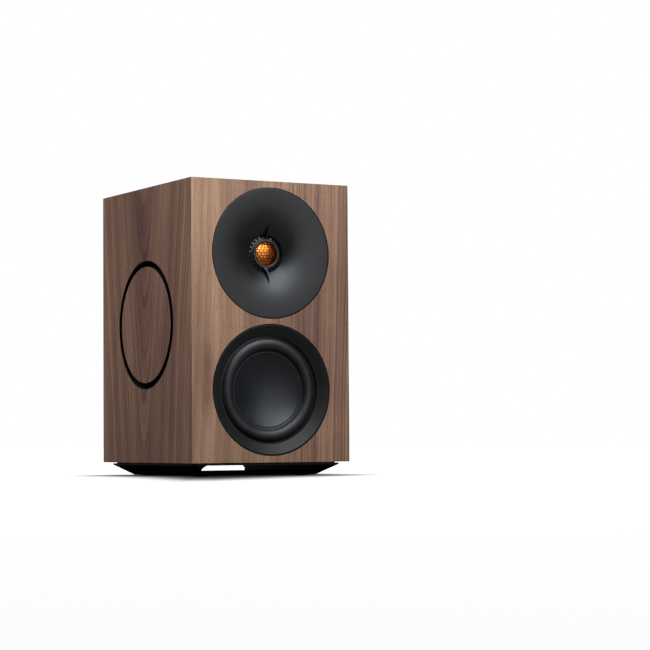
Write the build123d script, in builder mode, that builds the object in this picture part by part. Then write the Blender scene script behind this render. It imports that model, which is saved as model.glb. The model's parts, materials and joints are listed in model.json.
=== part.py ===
"""Compact active bookshelf speaker: every physical piece as its own solid.

Frame: origin on the floor under the middle of the cabinet, +X to the right as seen
from the front, the front faces -Y, +Z up. Millimetres.
"""

import os
from math import cos, exp, radians, sin

from build123d import *

os.makedirs("parts", exist_ok=True)

# ------------------------------------------------------------------ driving dimensions
cabinet_width = 180.0
cabinet_depth = 220.0
cabinet_height = 286.0
plinth_height = 14.0
wall = 12.0
front_wall = 18.0
rear_wall = 15.0
driver_inset = 73.5  # driver centre to the nearer cabinet end
driver_recess_radius = 67.0

waveguide_radius = 66.7
throat_radius = 19.3
throat_depth = 12.0
flare_length = 15.0

trim_radius = 66.5
cone_radius = 41.2
woofer_travel = 4.0
radiator_travel = 5.0

disc_radius = 60.5
amp_width = 136.0
amp_height = 190.0
screw_gap = 0.1  # radial play round every screw shank

# ------------------------------------------------------------------ derived places
front_y = -cabinet_depth / 2
rear_y = cabinet_depth / 2
side_x = cabinet_width / 2
floor_z = plinth_height
top_z = plinth_height + cabinet_height
middle_z = plinth_height + cabinet_height / 2
tweeter_z = top_z - driver_inset
woofer_z = floor_z + driver_inset
inner_width = cabinet_width - 2 * wall
inner_height = cabinet_height - 2 * wall
inner_depth = cabinet_depth - front_wall - rear_wall
inner_front_y = front_y + front_wall
inner_shift = (front_wall - rear_wall) / 2  # the hollow's middle lies this far behind

front_face = Plane(origin=(0, front_y, middle_z), x_dir=(1, 0, 0), z_dir=(0, -1, 0))
rear_face = Plane(origin=(0, rear_y, middle_z), x_dir=(-1, 0, 0), z_dir=(0, 1, 0))
left_face = Plane(origin=(-side_x, 0, middle_z), x_dir=(0, -1, 0), z_dir=(-1, 0, 0))
right_face = Plane(origin=(side_x, 0, middle_z), x_dir=(0, 1, 0), z_dir=(1, 0, 0))
top_face = Plane(origin=(0, 0, top_z), x_dir=(1, 0, 0), z_dir=(0, 0, 1))
bottom_face = Plane(origin=(0, 0, floor_z), x_dir=(1, 0, 0), z_dir=(0, 0, -1))
tweeter_face = Plane(origin=(0, front_y, tweeter_z), x_dir=(1, 0, 0), z_dir=(0, -1, 0))
woofer_face = Plane(origin=(0, front_y, woofer_z), x_dir=(1, 0, 0), z_dir=(0, -1, 0))


# ------------------------------------------------------------------ shared shapes
def save(piece, name):
    """Label a finished piece and write it to its own file."""
    piece.part.label = name
    export_step(piece.part, f"parts/{name}.step")


def section_plane(face):
    """Plane through a driver's axis: x is the radius, y the depth behind its face."""
    inward = face.z_dir * -1
    return Plane(origin=face.origin, x_dir=face.x_dir, z_dir=face.x_dir.cross(inward))


def driver_axis(face):
    return Axis(face.origin, face.z_dir * -1)


def spun(face, *outline):
    """Solid of revolution about a driver's axis, from (radius, depth) corners."""
    with BuildPart() as piece:
        with BuildSketch(section_plane(face)):
            with BuildLine():
                Polyline(*outline, close=True)
            make_face()
        revolve(axis=driver_axis(face))
    return piece.part


def ring(face, outer, inner, start, end):
    """Flat ring, or disc if inner is 0, between two depths behind a face."""
    with BuildPart() as piece:
        with BuildSketch(face.offset(-start)):
            Circle(outer)
            if inner > 0:
                Circle(inner, mode=Mode.SUBTRACT)
        extrude(amount=start - end)
    return piece.part


def slab(face, centre, width, height, start, end, corner=0.0):
    """Rectangular block between two depths behind a face."""
    with BuildPart() as piece:
        with BuildSketch(face.offset(-start)):
            with Locations(centre):
                if corner > 0:
                    RectangleRounded(width, height, corner)
                else:
                    Rectangle(width, height)
        extrude(amount=start - end)
    return piece.part


def screw(face, head_radius, shank_radius, head_start, head_end, tip):
    """Cross-recessed screw whose head rests at head_end and whose shank ends at tip."""
    sunk = head_start + 0.6 * (head_end - head_start)
    with BuildPart() as piece:
        add(spun(
            face,
            (0, head_start), (0.8 * head_radius, head_start), (head_radius, sunk),
            (head_radius, head_end), (shank_radius, head_end),
            (shank_radius, tip - shank_radius), (0.3 * shank_radius, tip), (0, tip),
        ))
        with BuildSketch(face.offset(-head_start)):
            Rectangle(1.2 * head_radius, 0.3 * head_radius)
            Rectangle(0.3 * head_radius, 1.2 * head_radius)
        extrude(amount=head_start - sunk, mode=Mode.SUBTRACT)
    return piece.part


def screws(face, points, head_radius, shank_radius, head_start, head_end, tip):
    """One group of separate, identical screws at (x, y) points of a face."""
    group = []
    for x, y in points:
        place = Plane(face.from_local_coords((x, y, 0)), face.x_dir, face.z_dir)
        group.append(screw(place, head_radius, shank_radius, head_start, head_end, tip))
    return Compound(children=group)


def on_circle(radius, count, first_angle):
    """Evenly spaced points on a circle."""
    step = 360 / count
    angles = [radians(first_angle + step * index) for index in range(count)]
    return [(radius * cos(angle), radius * sin(angle)) for angle in angles]


def pegs(points, radius, face, start, end):
    """Round pegs at points of a face, between two depths, to cut holes with."""
    with BuildPart() as group:
        with BuildSketch(face.offset(-start)):
            with Locations(*points):
                Circle(radius)
        extrude(amount=start - end)
    return group.part


def mitred_panel(face, thickness, outer, inner, shift):
    """Cabinet panel whose four edges are mitred from its outer to its inner outline."""
    with BuildPart() as panel:
        with BuildSketch(face):
            Rectangle(*outer)
        with BuildSketch(face.offset(-thickness)):
            with Locations(shift):
                Rectangle(*inner)
        loft(ruled=True)
    return panel.part


def horn_depth(radius):
    """Depth of the horn wall: an exponential flare from the throat to a flush rim."""
    fall = exp(-(waveguide_radius - throat_radius) / flare_length)
    scale = throat_depth / (1 - fall)
    return scale * (exp(-(radius - throat_radius) / flare_length) - fall)


# ------------------------------------------------------------------ cabinet
waveguide_flange_depth = 6.0
waveguide_boss_radius = 42.0
waveguide_boss_depth = 16.0
waveguide_screw_points = on_circle(54.0, 4, 45)
waveguide_screw_radius = 1.6

basket_start = 9.0
basket_flange = 2.5
gasket_thickness = 0.8
woofer_recess_depth = basket_start + basket_flange + gasket_thickness
woofer_hole_radius = 57.5
woofer_screw_points = on_circle(61.8, 6, 0)
woofer_screw_radius = 1.7

with BuildPart() as front_baffle:
    add(mitred_panel(
        front_face, front_wall, (cabinet_width, cabinet_height),
        (inner_width, inner_height), (0, 0),
    ))
    add(ring(tweeter_face, driver_recess_radius, 0, 0, waveguide_flange_depth),
        mode=Mode.SUBTRACT)
    add(ring(tweeter_face, waveguide_boss_radius + 1, 0, 0, front_wall), mode=Mode.SUBTRACT)
    add(ring(woofer_face, driver_recess_radius, 0, 0, woofer_recess_depth), mode=Mode.SUBTRACT)
    add(ring(woofer_face, woofer_hole_radius, 0, 0, front_wall), mode=Mode.SUBTRACT)
    add(pegs(waveguide_screw_points, waveguide_screw_radius + screw_gap, tweeter_face,
             waveguide_flange_depth, front_wall), mode=Mode.SUBTRACT)
    add(pegs(woofer_screw_points, woofer_screw_radius + screw_gap, woofer_face,
             woofer_recess_depth, front_wall), mode=Mode.SUBTRACT)
save(front_baffle, "front_baffle")

amp_z = 131.0
amp_recess_depth = 9.0
amp_ledge = 8.0
amp_face = Plane(origin=(0, rear_y, amp_z), x_dir=(-1, 0, 0), z_dir=(0, 1, 0))
amp_screw_inset = 4.2
amp_screw_x = amp_width / 2 - amp_screw_inset
amp_screw_y = amp_height / 2 - amp_screw_inset
amp_screw_points = [(x, y) for x in (-amp_screw_x, amp_screw_x)
                    for y in (-amp_screw_y, -amp_screw_y / 3, amp_screw_y / 3, amp_screw_y)]
amp_screw_points += [(0, -amp_screw_y), (0, amp_screw_y)]
amp_screw_radius = 1.5
amp_screw_tip = 14.0

with BuildPart() as rear_panel:
    add(mitred_panel(
        rear_face, rear_wall, (cabinet_width, cabinet_height),
        (inner_width, inner_height), (0, 0),
    ))
    add(slab(amp_face, (0, 0), amp_width + 0.6, amp_height + 0.6, 0, amp_recess_depth, 4.3),
        mode=Mode.SUBTRACT)
    add(slab(amp_face, (0, 0), amp_width - 2 * amp_ledge, amp_height - 2 * amp_ledge,
             0, rear_wall, 4.0), mode=Mode.SUBTRACT)
    add(pegs(amp_screw_points, amp_screw_radius + screw_gap, amp_face,
             amp_recess_depth, amp_screw_tip), mode=Mode.SUBTRACT)
save(rear_panel, "rear_panel")

radiator_screw_points = on_circle(71.0, 6, 0)
radiator_screw_radius = 1.5
radiator_screw_tip = 4.5
side_faces = {"left": (left_face, -inner_shift), "right": (right_face, inner_shift)}

for side, (face, shift) in side_faces.items():
    with BuildPart() as side_panel:
        add(mitred_panel(
            face, wall, (cabinet_depth, cabinet_height), (inner_depth, inner_height),
            (shift, 0),
        ))
        add(ring(face, driver_recess_radius, 0, 0, wall), mode=Mode.SUBTRACT)
        add(pegs(radiator_screw_points, radiator_screw_radius + screw_gap, face,
                 radiator_screw_tip, wall), mode=Mode.SUBTRACT)
    save(side_panel, f"{side}_side_panel")

base_screw_points = [(x, y) for x in (-71.5, 71.5) for y in (-60.0, 60.0)]
base_screw_radius = 1.9

with BuildPart() as top_panel:
    add(mitred_panel(
        top_face, wall, (cabinet_width, cabinet_depth), (inner_width, inner_depth),
        (0, inner_shift),
    ))
save(top_panel, "top_panel")

with BuildPart() as bottom_panel:
    add(mitred_panel(
        bottom_face, wall, (cabinet_width, cabinet_depth), (inner_width, inner_depth),
        (0, -inner_shift),
    ))
    add(pegs(base_screw_points, base_screw_radius + screw_gap, bottom_face, 0, wall),
        mode=Mode.SUBTRACT)
    # the woofer's recess is machined across the mitre
    add(ring(woofer_face, driver_recess_radius, 0, 0, woofer_recess_depth), mode=Mode.SUBTRACT)
save(bottom_panel, "bottom_panel")

brace_low = 238.0
brace_thickness = 9.0
brace_rail = 24.0
brace_notch_y = 70.0
with BuildPart() as window_brace:
    with BuildSketch(Plane.XY.offset(brace_low)):
        with Locations((0, inner_shift)):
            Rectangle(inner_width, inner_depth)
        with Locations((0, (inner_front_y + brace_notch_y) / 2)):
            Rectangle(inner_width - 2 * brace_rail, brace_notch_y - inner_front_y,
                      mode=Mode.SUBTRACT)
    extrude(amount=brace_thickness)
save(window_brace, "window_brace")

wadding_width = 140.0
wadding_depth = 130.0
wadding_height = 34.0
with BuildPart() as acoustic_wadding:
    with BuildSketch(Plane.XY.offset(brace_low + brace_thickness)):
        with Locations((0, 20)):
            RectangleRounded(wadding_width, wadding_depth, 18)
    extrude(amount=wadding_height)
save(acoustic_wadding, "acoustic_wadding")

# ------------------------------------------------------------------ plinth
foot_height = 0.8
foot_radius = 6.0
foot_recess = 1.2
foot_points = [(x, y) for x in (-58.0, 58.0) for y in (-64.0, 64.0)]
shadow_gap = 1.0  # between the lip and the cabinet
shadow_gap_inset = 3.0
lip_top = plinth_height - shadow_gap
lip_bottom = lip_top - 1.5
lip_inset = (6.0, 8.5)  # from the cabinet's outline, across and along
foot_inset = (20.0, 33.0)
plinth_lip = (cabinet_width - 2 * lip_inset[0], cabinet_depth - 2 * lip_inset[1])
plinth_foot = (cabinet_width - 2 * foot_inset[0], cabinet_depth - 2 * foot_inset[1])
plinth_pad = (plinth_lip[0] - 2 * shadow_gap_inset, plinth_lip[1] - 2 * shadow_gap_inset)
plinth_corner = 5.0
plinth_edge_radius = 3.0
plinth_screw_depth = 8.5
tunnel_low = 4.0
tunnel_high = 11.4
tunnel_half_width = 64.6
tunnel_flare_start = 79.8
tunnel_flare_radius = 16.0
tunnel_mouth_half_width = 85.5

with BuildPart() as base_plinth:
    with BuildSketch(Plane.XY.offset(foot_height)):
        RectangleRounded(*plinth_foot, plinth_corner)
    with BuildSketch(Plane.XY.offset(lip_bottom)):
        RectangleRounded(*plinth_lip, plinth_corner)
    loft(ruled=True)
    with BuildSketch(Plane.XY.offset(lip_bottom)):
        RectangleRounded(*plinth_lip, plinth_corner)
    extrude(amount=lip_top - lip_bottom)
    fillet(base_plinth.faces().sort_by(Axis.Z)[0].edges(), plinth_edge_radius)
    with BuildSketch(Plane.XY.offset(lip_top)):
        RectangleRounded(*plinth_pad, plinth_corner)
    extrude(amount=shadow_gap)
    with BuildSketch(Plane.XY.offset(tunnel_low)):
        with BuildLine():
            quarter = [
                (0, -rear_y), (tunnel_mouth_half_width, -rear_y),
                (tunnel_half_width, -tunnel_flare_start), (tunnel_half_width, 0),
            ]
            FilletPolyline(*quarter, radius=tunnel_flare_radius)
            Line((tunnel_half_width, 0), (0, 0))
            Line((0, 0), (0, -rear_y))
        make_face()
        mirror(about=Plane.YZ)
        mirror(about=Plane.XZ)
    extrude(amount=tunnel_high - tunnel_low, mode=Mode.SUBTRACT)
    with BuildSketch(Plane.XY.offset(foot_height)):
        with Locations(*foot_points):
            Circle(foot_radius + 0.2)
    extrude(amount=foot_recess, mode=Mode.SUBTRACT)
    with BuildSketch(Plane.XY.offset(plinth_height)):
        with Locations(*base_screw_points):
            Circle(base_screw_radius + screw_gap)
    extrude(amount=-plinth_screw_depth, mode=Mode.SUBTRACT)
save(base_plinth, "base_plinth")

with BuildPart() as rubber_feet:
    with BuildSketch(Plane.XY):
        with Locations(*foot_points):
            Circle(foot_radius)
    extrude(amount=foot_height + foot_recess)
save(rubber_feet, "rubber_feet")

inside_floor = Plane(origin=(0, 0, floor_z + wall), x_dir=(1, 0, 0), z_dir=(0, 0, 1))
with BuildPart() as base_screws:
    add(screws(inside_floor, base_screw_points, 3.8, base_screw_radius, -2.4, 0, 20))
save(base_screws, "base_screws")

# ------------------------------------------------------------------ tweeter
top_plate_start = 16.4
top_plate_end = 20.4
tweeter_magnet_end = 30.4
tweeter_yoke_end = 34.4
back_cup_end = 50.0
tweeter_screw_points = on_circle(34.0, 4, 45)
tweeter_screw_radius = 1.4

with BuildPart() as tweeter_waveguide:
    with BuildSketch(section_plane(tweeter_face)):
        with BuildLine():
            flare = Spline(*[(radius, horn_depth(radius))
                             for radius in (throat_radius, 25.0, 32.0, 42.0, 54.0, 66.2)])
            Polyline(
                flare @ 1, (waveguide_radius, 0.5), (waveguide_radius, waveguide_flange_depth),
                (waveguide_boss_radius, waveguide_flange_depth),
                (waveguide_boss_radius, waveguide_boss_depth),
                (throat_radius, waveguide_boss_depth), flare @ 0,
            )
        make_face()
    revolve(axis=driver_axis(tweeter_face))
    add(pegs(tweeter_screw_points, tweeter_screw_radius + screw_gap, tweeter_face,
             9.0, waveguide_boss_depth), mode=Mode.SUBTRACT)
    add(pegs(waveguide_screw_points, waveguide_screw_radius + screw_gap, tweeter_face,
             2.4, waveguide_flange_depth), mode=Mode.SUBTRACT)
save(tweeter_waveguide, "tweeter_waveguide")

inside_baffle = Plane(origin=(0, inner_front_y, tweeter_z), x_dir=(1, 0, 0), z_dir=(0, 1, 0))
with BuildPart() as waveguide_screws:
    add(screws(inside_baffle, waveguide_screw_points, 3.4, waveguide_screw_radius, -2.2, 0, 15))
save(waveguide_screws, "waveguide_screws")

phase_ring_outer = 15.0
phase_ring_inner = 12.2
phase_ring_front = 10.5
phase_ring_back = 12.5
fin_tip_radius = 31.5
fin_sink = 0.3  # the fins key this far into the horn wall
fin_half_width = 1.3
fin_rise = 2.8  # how early the fins' front edge climbs away from the ring


def fin_edge_depth(radius):
    """Depth of a fin's front edge, from the ring out to the horn wall at the tip."""
    tip_depth = horn_depth(fin_tip_radius)
    share = (fin_tip_radius - radius) / (fin_tip_radius - phase_ring_outer)
    return tip_depth + (phase_ring_front - tip_depth) * share ** fin_rise


with BuildPart() as phase_ring:
    # the volume that the fins may fill: from their front edge back to the horn wall
    with BuildSketch(section_plane(tweeter_face)):
        with BuildLine():
            wall_line = Spline(*[(radius, horn_depth(radius) + fin_sink)
                                 for radius in (throat_radius, 23.0, 27.0, fin_tip_radius)])
            Line(wall_line @ 1, (fin_tip_radius, fin_edge_depth(fin_tip_radius)))
            Spline(*[(radius, fin_edge_depth(radius))
                     for radius in (fin_tip_radius, 28.0, 24.0, 20.0, 17.5, phase_ring_outer)])
            Polyline(
                (phase_ring_outer, phase_ring_front), (phase_ring_inner + 0.5, phase_ring_front),
                (phase_ring_inner + 0.5, phase_ring_back),
                (throat_radius - 0.2, phase_ring_back), wall_line @ 0,
            )
        make_face()
    revolve(axis=driver_axis(tweeter_face))
    # each fin tapers in plan from the ring to a point at its tip
    with BuildSketch(tweeter_face):
        for direction in (-1, 1):
            with BuildLine():
                Polyline(
                    (-2.4 * fin_half_width, direction * phase_ring_inner),
                    (-fin_half_width, direction * (phase_ring_outer + 1.5)),
                    (-0.15, direction * fin_tip_radius), (0.15, direction * fin_tip_radius),
                    (fin_half_width, direction * (phase_ring_outer + 1.5)),
                    (2.4 * fin_half_width, direction * phase_ring_inner), close=True,
                )
            make_face()
    extrude(amount=-throat_depth * 2, mode=Mode.INTERSECT)
    with BuildSketch(section_plane(tweeter_face)):
        with Locations(((phase_ring_outer + phase_ring_inner) / 2,
                        (phase_ring_front + phase_ring_back) / 2)):
            RectangleRounded(phase_ring_outer - phase_ring_inner,
                             phase_ring_back - phase_ring_front, 0.6)
    revolve(axis=driver_axis(tweeter_face))
save(phase_ring, "phase_ring")

mesh_front = 13.0
mesh_thickness = 0.5
mesh_hole_rows = ((14.9, 24, 7.5, 0.75), (17.3, 24, 0, 1.3))  # circle, count, angle, radius
guard_rim_radius = 13.6
guard_apex = 9.8
with BuildPart() as throat_mesh:
    add(ring(tweeter_face, throat_radius - 0.1, guard_rim_radius + 0.1,
             mesh_front, mesh_front + mesh_thickness))
    for circle_radius, hole_count, first_angle, hole_radius in mesh_hole_rows:
        add(pegs(on_circle(circle_radius, hole_count, first_angle), hole_radius, tweeter_face,
                 mesh_front, mesh_front + mesh_thickness), mode=Mode.SUBTRACT)
save(throat_mesh, "throat_mesh")


def dome_shell(rim_radius, rim_depth, apex_depth, thickness):
    """Thin spherical cap that bulges forward, with a flat-cut rim."""
    half = rim_radius / 2
    rise = rim_depth - apex_depth
    sphere = (rim_radius ** 2 + rise ** 2) / (2 * rise)
    half_depth = apex_depth + sphere - (sphere ** 2 - half ** 2) ** 0.5
    with BuildPart() as cap:
        with BuildSketch(section_plane(tweeter_face)):
            with BuildLine():
                ThreePointArc((0, apex_depth), (half, half_depth), (rim_radius, rim_depth))
                Line((rim_radius, rim_depth), (rim_radius, rim_depth + thickness))
                ThreePointArc(
                    (rim_radius, rim_depth + thickness), (half, half_depth + thickness),
                    (0, apex_depth + thickness),
                )
                Line((0, apex_depth + thickness), (0, apex_depth))
            make_face()
        revolve(axis=driver_axis(tweeter_face))
    return cap.part


guard_pitch = 3.6
guard_hole_radius = 1.45
guard_holes = [(0.0, 0.0)]
for row in range(1, 4):
    guard_holes += on_circle(guard_pitch * row, 6 * row, 0)
with BuildPart() as dome_guard:
    add(dome_shell(guard_rim_radius, mesh_front, guard_apex, mesh_thickness))
    add(pegs(guard_holes, guard_hole_radius, tweeter_face, guard_apex - 1, mesh_front + 1),
        mode=Mode.SUBTRACT)
save(dome_guard, "dome_guard")

coil_outer = 14.2
coil_inner = 13.6
dome_rim_depth = 15.4
dome_thickness = 0.4
dome_apex = 11.6
with BuildPart() as tweeter_dome:
    add(dome_shell(coil_outer - 0.3, dome_rim_depth, dome_apex, dome_thickness))
save(tweeter_dome, "tweeter_dome")

with BuildPart() as tweeter_voice_coil:
    add(ring(tweeter_face, coil_outer, coil_inner, dome_rim_depth + dome_thickness, 22.0))
save(tweeter_voice_coil, "tweeter_voice_coil")

with BuildPart() as tweeter_suspension:
    with BuildSketch(section_plane(tweeter_face)):
        with BuildLine():
            Polyline((14.7, 15.6), (14.3, 15.6), (14.3, 16.1), (15.0, 16.1))
            ThreePointArc((15.0, 16.1), (16.1, 15.1), (17.3, 16.4))
            Polyline((17.3, 16.4), (24.0, 16.4), (24.0, 16.0), (17.6, 16.0))
            ThreePointArc((17.6, 16.0), (16.1, 14.6), (14.7, 15.6))
        make_face()
    revolve(axis=driver_axis(tweeter_face))
save(tweeter_suspension, "tweeter_suspension")

with BuildPart() as tweeter_top_plate:
    add(ring(tweeter_face, 38.0, 14.6, top_plate_start, top_plate_end))
    add(pegs(tweeter_screw_points, tweeter_screw_radius + screw_gap, tweeter_face,
             top_plate_start, top_plate_end), mode=Mode.SUBTRACT)
save(tweeter_top_plate, "tweeter_top_plate")

with BuildPart() as tweeter_magnet:
    add(ring(tweeter_face, 28.0, 16.0, top_plate_end, tweeter_magnet_end))
    chamfer(tweeter_magnet.edges().filter_by(GeomType.CIRCLE).group_by(SortBy.RADIUS)[-1], 0.8)
save(tweeter_magnet, "tweeter_magnet")

with BuildPart() as tweeter_yoke:
    add(ring(tweeter_face, 28.0, 0, tweeter_magnet_end, tweeter_yoke_end))
    add(ring(tweeter_face, 13.2, 4.0, 17.4, tweeter_magnet_end))
    add(ring(tweeter_face, 4.0, 0, 17.4, tweeter_yoke_end), mode=Mode.SUBTRACT)
save(tweeter_yoke, "tweeter_yoke")

with BuildPart() as tweeter_back_cup:
    add(spun(
        tweeter_face,
        (0, back_cup_end), (26.0, back_cup_end), (29.0, back_cup_end - 3),
        (29.0, tweeter_yoke_end), (27.2, tweeter_yoke_end), (27.2, back_cup_end - 4),
        (25.4, back_cup_end - 1.8), (0, back_cup_end - 1.8),
    ))
save(tweeter_back_cup, "tweeter_back_cup")

tweeter_rear = Plane(
    origin=(0, front_y + top_plate_end, tweeter_z), x_dir=(1, 0, 0), z_dir=(0, 1, 0)
)
with BuildPart() as tweeter_screws:
    add(screws(tweeter_rear, tweeter_screw_points, 2.7, tweeter_screw_radius, -1.8, 0, 11))
save(tweeter_screws, "tweeter_screws")

# ------------------------------------------------------------------ woofer
trim_lip = 0.4
trim_inner_radius = 54.8
trim_inner_depth = 6.0
trim_skirt = 1.2
plate_start = 41.0
plate_end = 46.0
coil_end = 48.0
magnet_end = coil_end + woofer_travel + 8.0
back_plate_end = magnet_end + 5.0
former_outer = 16.2
former_inner = 15.0

with BuildPart() as woofer_trim_ring:
    add(spun(
        woofer_face,
        (trim_radius - trim_lip, 0), (trim_radius, trim_lip), (trim_radius, basket_start),
        (trim_radius - trim_skirt, basket_start), (trim_radius - trim_skirt, 2.6),
        (trim_inner_radius, trim_inner_depth + 1.6), (trim_inner_radius, trim_inner_depth),
    ))
save(woofer_trim_ring, "woofer_trim_ring")

basket_flange_end = basket_start + basket_flange
with BuildPart() as woofer_basket:
    add(spun(
        woofer_face,
        (54.0, basket_start), (65.8, basket_start), (65.8, basket_flange_end),
        (56.6, basket_flange_end), (56.6, 14.0), (42.0, 38.0), (42.0, plate_start),
        (30.0, plate_start), (30.0, 38.6), (39.4, 38.6), (45.0, 29.6), (40.0, 29.6),
        (40.0, 27.9), (46.2, 27.9), (54.0, 14.5),
    ))
    for window_start, window_end, window_width in ((14.6, 26.0, 34.0), (30.6, 37.0, 26.0)):
        with BuildSketch(woofer_face.offset(-window_start)):
            with PolarLocations(48, 6):
                Rectangle(24, window_width)
        extrude(amount=window_start - window_end, mode=Mode.SUBTRACT)
    # terminal tab on the top rib, where the lead is fastened
    add(slab(woofer_face, (0, 53.0), 9, 9, 22.0, 27.0))
    add(pegs(woofer_screw_points, woofer_screw_radius + screw_gap, woofer_face,
             basket_start, basket_flange_end), mode=Mode.SUBTRACT)
save(woofer_basket, "woofer_basket")

with BuildPart() as woofer_gasket:
    add(ring(woofer_face, 65.8, 58.0, basket_flange_end, woofer_recess_depth))
    add(pegs(woofer_screw_points, woofer_screw_radius + screw_gap, woofer_face,
             basket_flange_end, woofer_recess_depth), mode=Mode.SUBTRACT)
save(woofer_gasket, "woofer_gasket")

with BuildPart() as woofer_screws:
    add(screws(woofer_face, woofer_screw_points, 3.0, woofer_screw_radius,
               basket_start - 2.0, basket_start, front_wall))
save(woofer_screws, "woofer_screws")

dish_radius = 38.0
dish_edge_depth = 10.0
dish_centre_depth = 19.0
cone_thickness = 1.0
dish_sphere = (dish_radius ** 2 + (dish_centre_depth - dish_edge_depth) ** 2) / (
    2 * (dish_centre_depth - dish_edge_depth))
dish_half_depth = (dish_centre_depth - dish_sphere
                   + (dish_sphere ** 2 - (dish_radius / 2) ** 2) ** 0.5)
with BuildPart() as woofer_cone:
    with BuildSketch(section_plane(woofer_face)):
        with BuildLine():
            ThreePointArc((0, dish_centre_depth), (dish_radius / 2, dish_half_depth),
                          (dish_radius, dish_edge_depth))
            Polyline(
                (dish_radius, dish_edge_depth), (cone_radius, dish_edge_depth),
                (cone_radius, dish_edge_depth + cone_thickness),
                (dish_radius, dish_edge_depth + cone_thickness),
            )
            ThreePointArc(
                (dish_radius, dish_edge_depth + cone_thickness),
                (dish_radius / 2, dish_half_depth + cone_thickness),
                (0, dish_centre_depth + cone_thickness),
            )
            Line((0, dish_centre_depth + cone_thickness), (0, dish_centre_depth))
        make_face()
    revolve(axis=driver_axis(woofer_face))
    # the neck that joins the dish to the voice coil
    add(ring(woofer_face, former_outer, former_inner, dish_centre_depth - 0.6, 24.0))
save(woofer_cone, "woofer_cone")

with BuildPart() as woofer_voice_coil:
    add(ring(woofer_face, former_outer - 0.5, former_inner, 24.0, coil_end))
    add(ring(woofer_face, former_outer, former_inner, 38.5, coil_end))
save(woofer_voice_coil, "woofer_voice_coil")

with BuildPart() as woofer_surround:
    with BuildSketch(section_plane(woofer_face)):
        with BuildLine():
            Line((41.4, 10.0), (42.6, 10.0))
            ThreePointArc((42.6, 10.0), (47.8, 4.7), (53.0, 8.2))
            Polyline((53.0, 8.2), (57.5, 8.2), (57.5, 8.9), (52.3, 8.9))
            ThreePointArc((52.3, 8.9), (47.8, 5.5), (43.4, 10.8))
            Polyline((43.4, 10.8), (41.4, 10.8), (41.4, 10.0))
        make_face()
    revolve(axis=driver_axis(woofer_face))
save(woofer_surround, "woofer_surround")

spider_depth = 27.0
spider_wave = 1.1
spider_radii = [16.4 + 2.8 * index for index in range(11)]
with BuildPart() as woofer_spider:
    front_edge = [(radius, spider_depth - spider_wave * (index % 2))
                  for index, radius in enumerate(spider_radii)]
    back_edge = [(radius, depth + 0.7) for radius, depth in reversed(front_edge)]
    add(spun(woofer_face, *front_edge, *back_edge))
save(woofer_spider, "woofer_spider")

with BuildPart() as woofer_top_plate:
    add(ring(woofer_face, 38.0, 16.8, plate_start, plate_end))
save(woofer_top_plate, "woofer_top_plate")

with BuildPart() as woofer_magnet:
    add(ring(woofer_face, 40.0, 20.0, plate_end, magnet_end))
    chamfer(woofer_magnet.edges().filter_by(GeomType.CIRCLE).group_by(SortBy.RADIUS)[-1], 1.2)
save(woofer_magnet, "woofer_magnet")

with BuildPart() as woofer_back_plate:
    add(ring(woofer_face, 38.0, 0, magnet_end, back_plate_end))
    add(ring(woofer_face, 14.4, 5.0, plate_start, magnet_end))
    add(ring(woofer_face, 5.0, 0, plate_start, back_plate_end), mode=Mode.SUBTRACT)
save(woofer_back_plate, "woofer_back_plate")

# ------------------------------------------------------------------ side radiators
disc_thickness = 6.2
carrier_plate_end = 8.2
carrier_arm_end = 12.0
carrier_flange_end = 13.4
liner_start = 0.3
arm_width = 5.0
arm_length = 13.5
frame_end = 17.0
piston_start = carrier_arm_end + radiator_travel + 1.5
piston_end = piston_start + 2.0
piston_radius = 46.0

for side, (face, _) in side_faces.items():
    with BuildPart() as side_disc:
        add(ring(face, disc_radius, 0, 0, disc_thickness))
    save(side_disc, f"{side}_side_disc")

    with BuildPart() as slot_carrier:
        add(ring(face, driver_recess_radius - 0.1, 65.8, liner_start, wall))
        add(ring(face, 74.0, 64.0, wall, carrier_flange_end))
        add(ring(face, 57.0, 0, disc_thickness, carrier_plate_end))
        with BuildSketch(face.offset(-disc_thickness)):
            with PolarLocations(60, 6, 30):
                Rectangle(arm_length, arm_width)
        extrude(amount=disc_thickness - carrier_arm_end)
        add(pegs(radiator_screw_points, radiator_screw_radius + screw_gap, face,
                 wall, carrier_flange_end), mode=Mode.SUBTRACT)
    save(slot_carrier, f"{side}_slot_carrier")

    with BuildPart() as radiator_frame:
        add(ring(face, 74.0, 56.5, carrier_flange_end, frame_end))
        add(pegs(radiator_screw_points, radiator_screw_radius + screw_gap, face,
                 carrier_flange_end, frame_end), mode=Mode.SUBTRACT)
    save(radiator_frame, f"{side}_radiator_frame")

    with BuildPart() as radiator_surround:
        with BuildSketch(section_plane(face)):
            with BuildLine():
                Polyline((43.0, 18.4), (43.0, 17.8), (47.0, 17.8))
                ThreePointArc((47.0, 17.8), (51.6, 22.4), (56.2, 17.1))
                Polyline((56.2, 17.1), (62.0, 17.1), (62.0, 17.8), (57.0, 17.8))
                ThreePointArc((57.0, 17.8), (51.6, 23.2), (46.3, 18.4))
                Line((46.3, 18.4), (43.0, 18.4))
            make_face()
        revolve(axis=driver_axis(face))
    save(radiator_surround, f"{side}_radiator_surround")

    with BuildPart() as radiator_piston:
        add(ring(face, piston_radius, 0, piston_start, piston_end))
        add(ring(face, 24.0, 8.0, piston_end, piston_end + 3))
    save(radiator_piston, f"{side}_radiator_piston")

radiator_screw_groups = []
for face, x in ((left_face, -side_x + frame_end), (right_face, side_x - frame_end)):
    inside_frame = Plane(origin=(x, 0, middle_z), x_dir=face.x_dir, z_dir=face.z_dir * -1)
    radiator_screw_groups.append(
        screws(inside_frame, radiator_screw_points, 2.9, radiator_screw_radius,
               -1.9, 0, frame_end - radiator_screw_tip - 0.3))
with BuildPart() as radiator_screws:
    for group in radiator_screw_groups:
        add(group)
save(radiator_screws, "radiator_screws")

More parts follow.
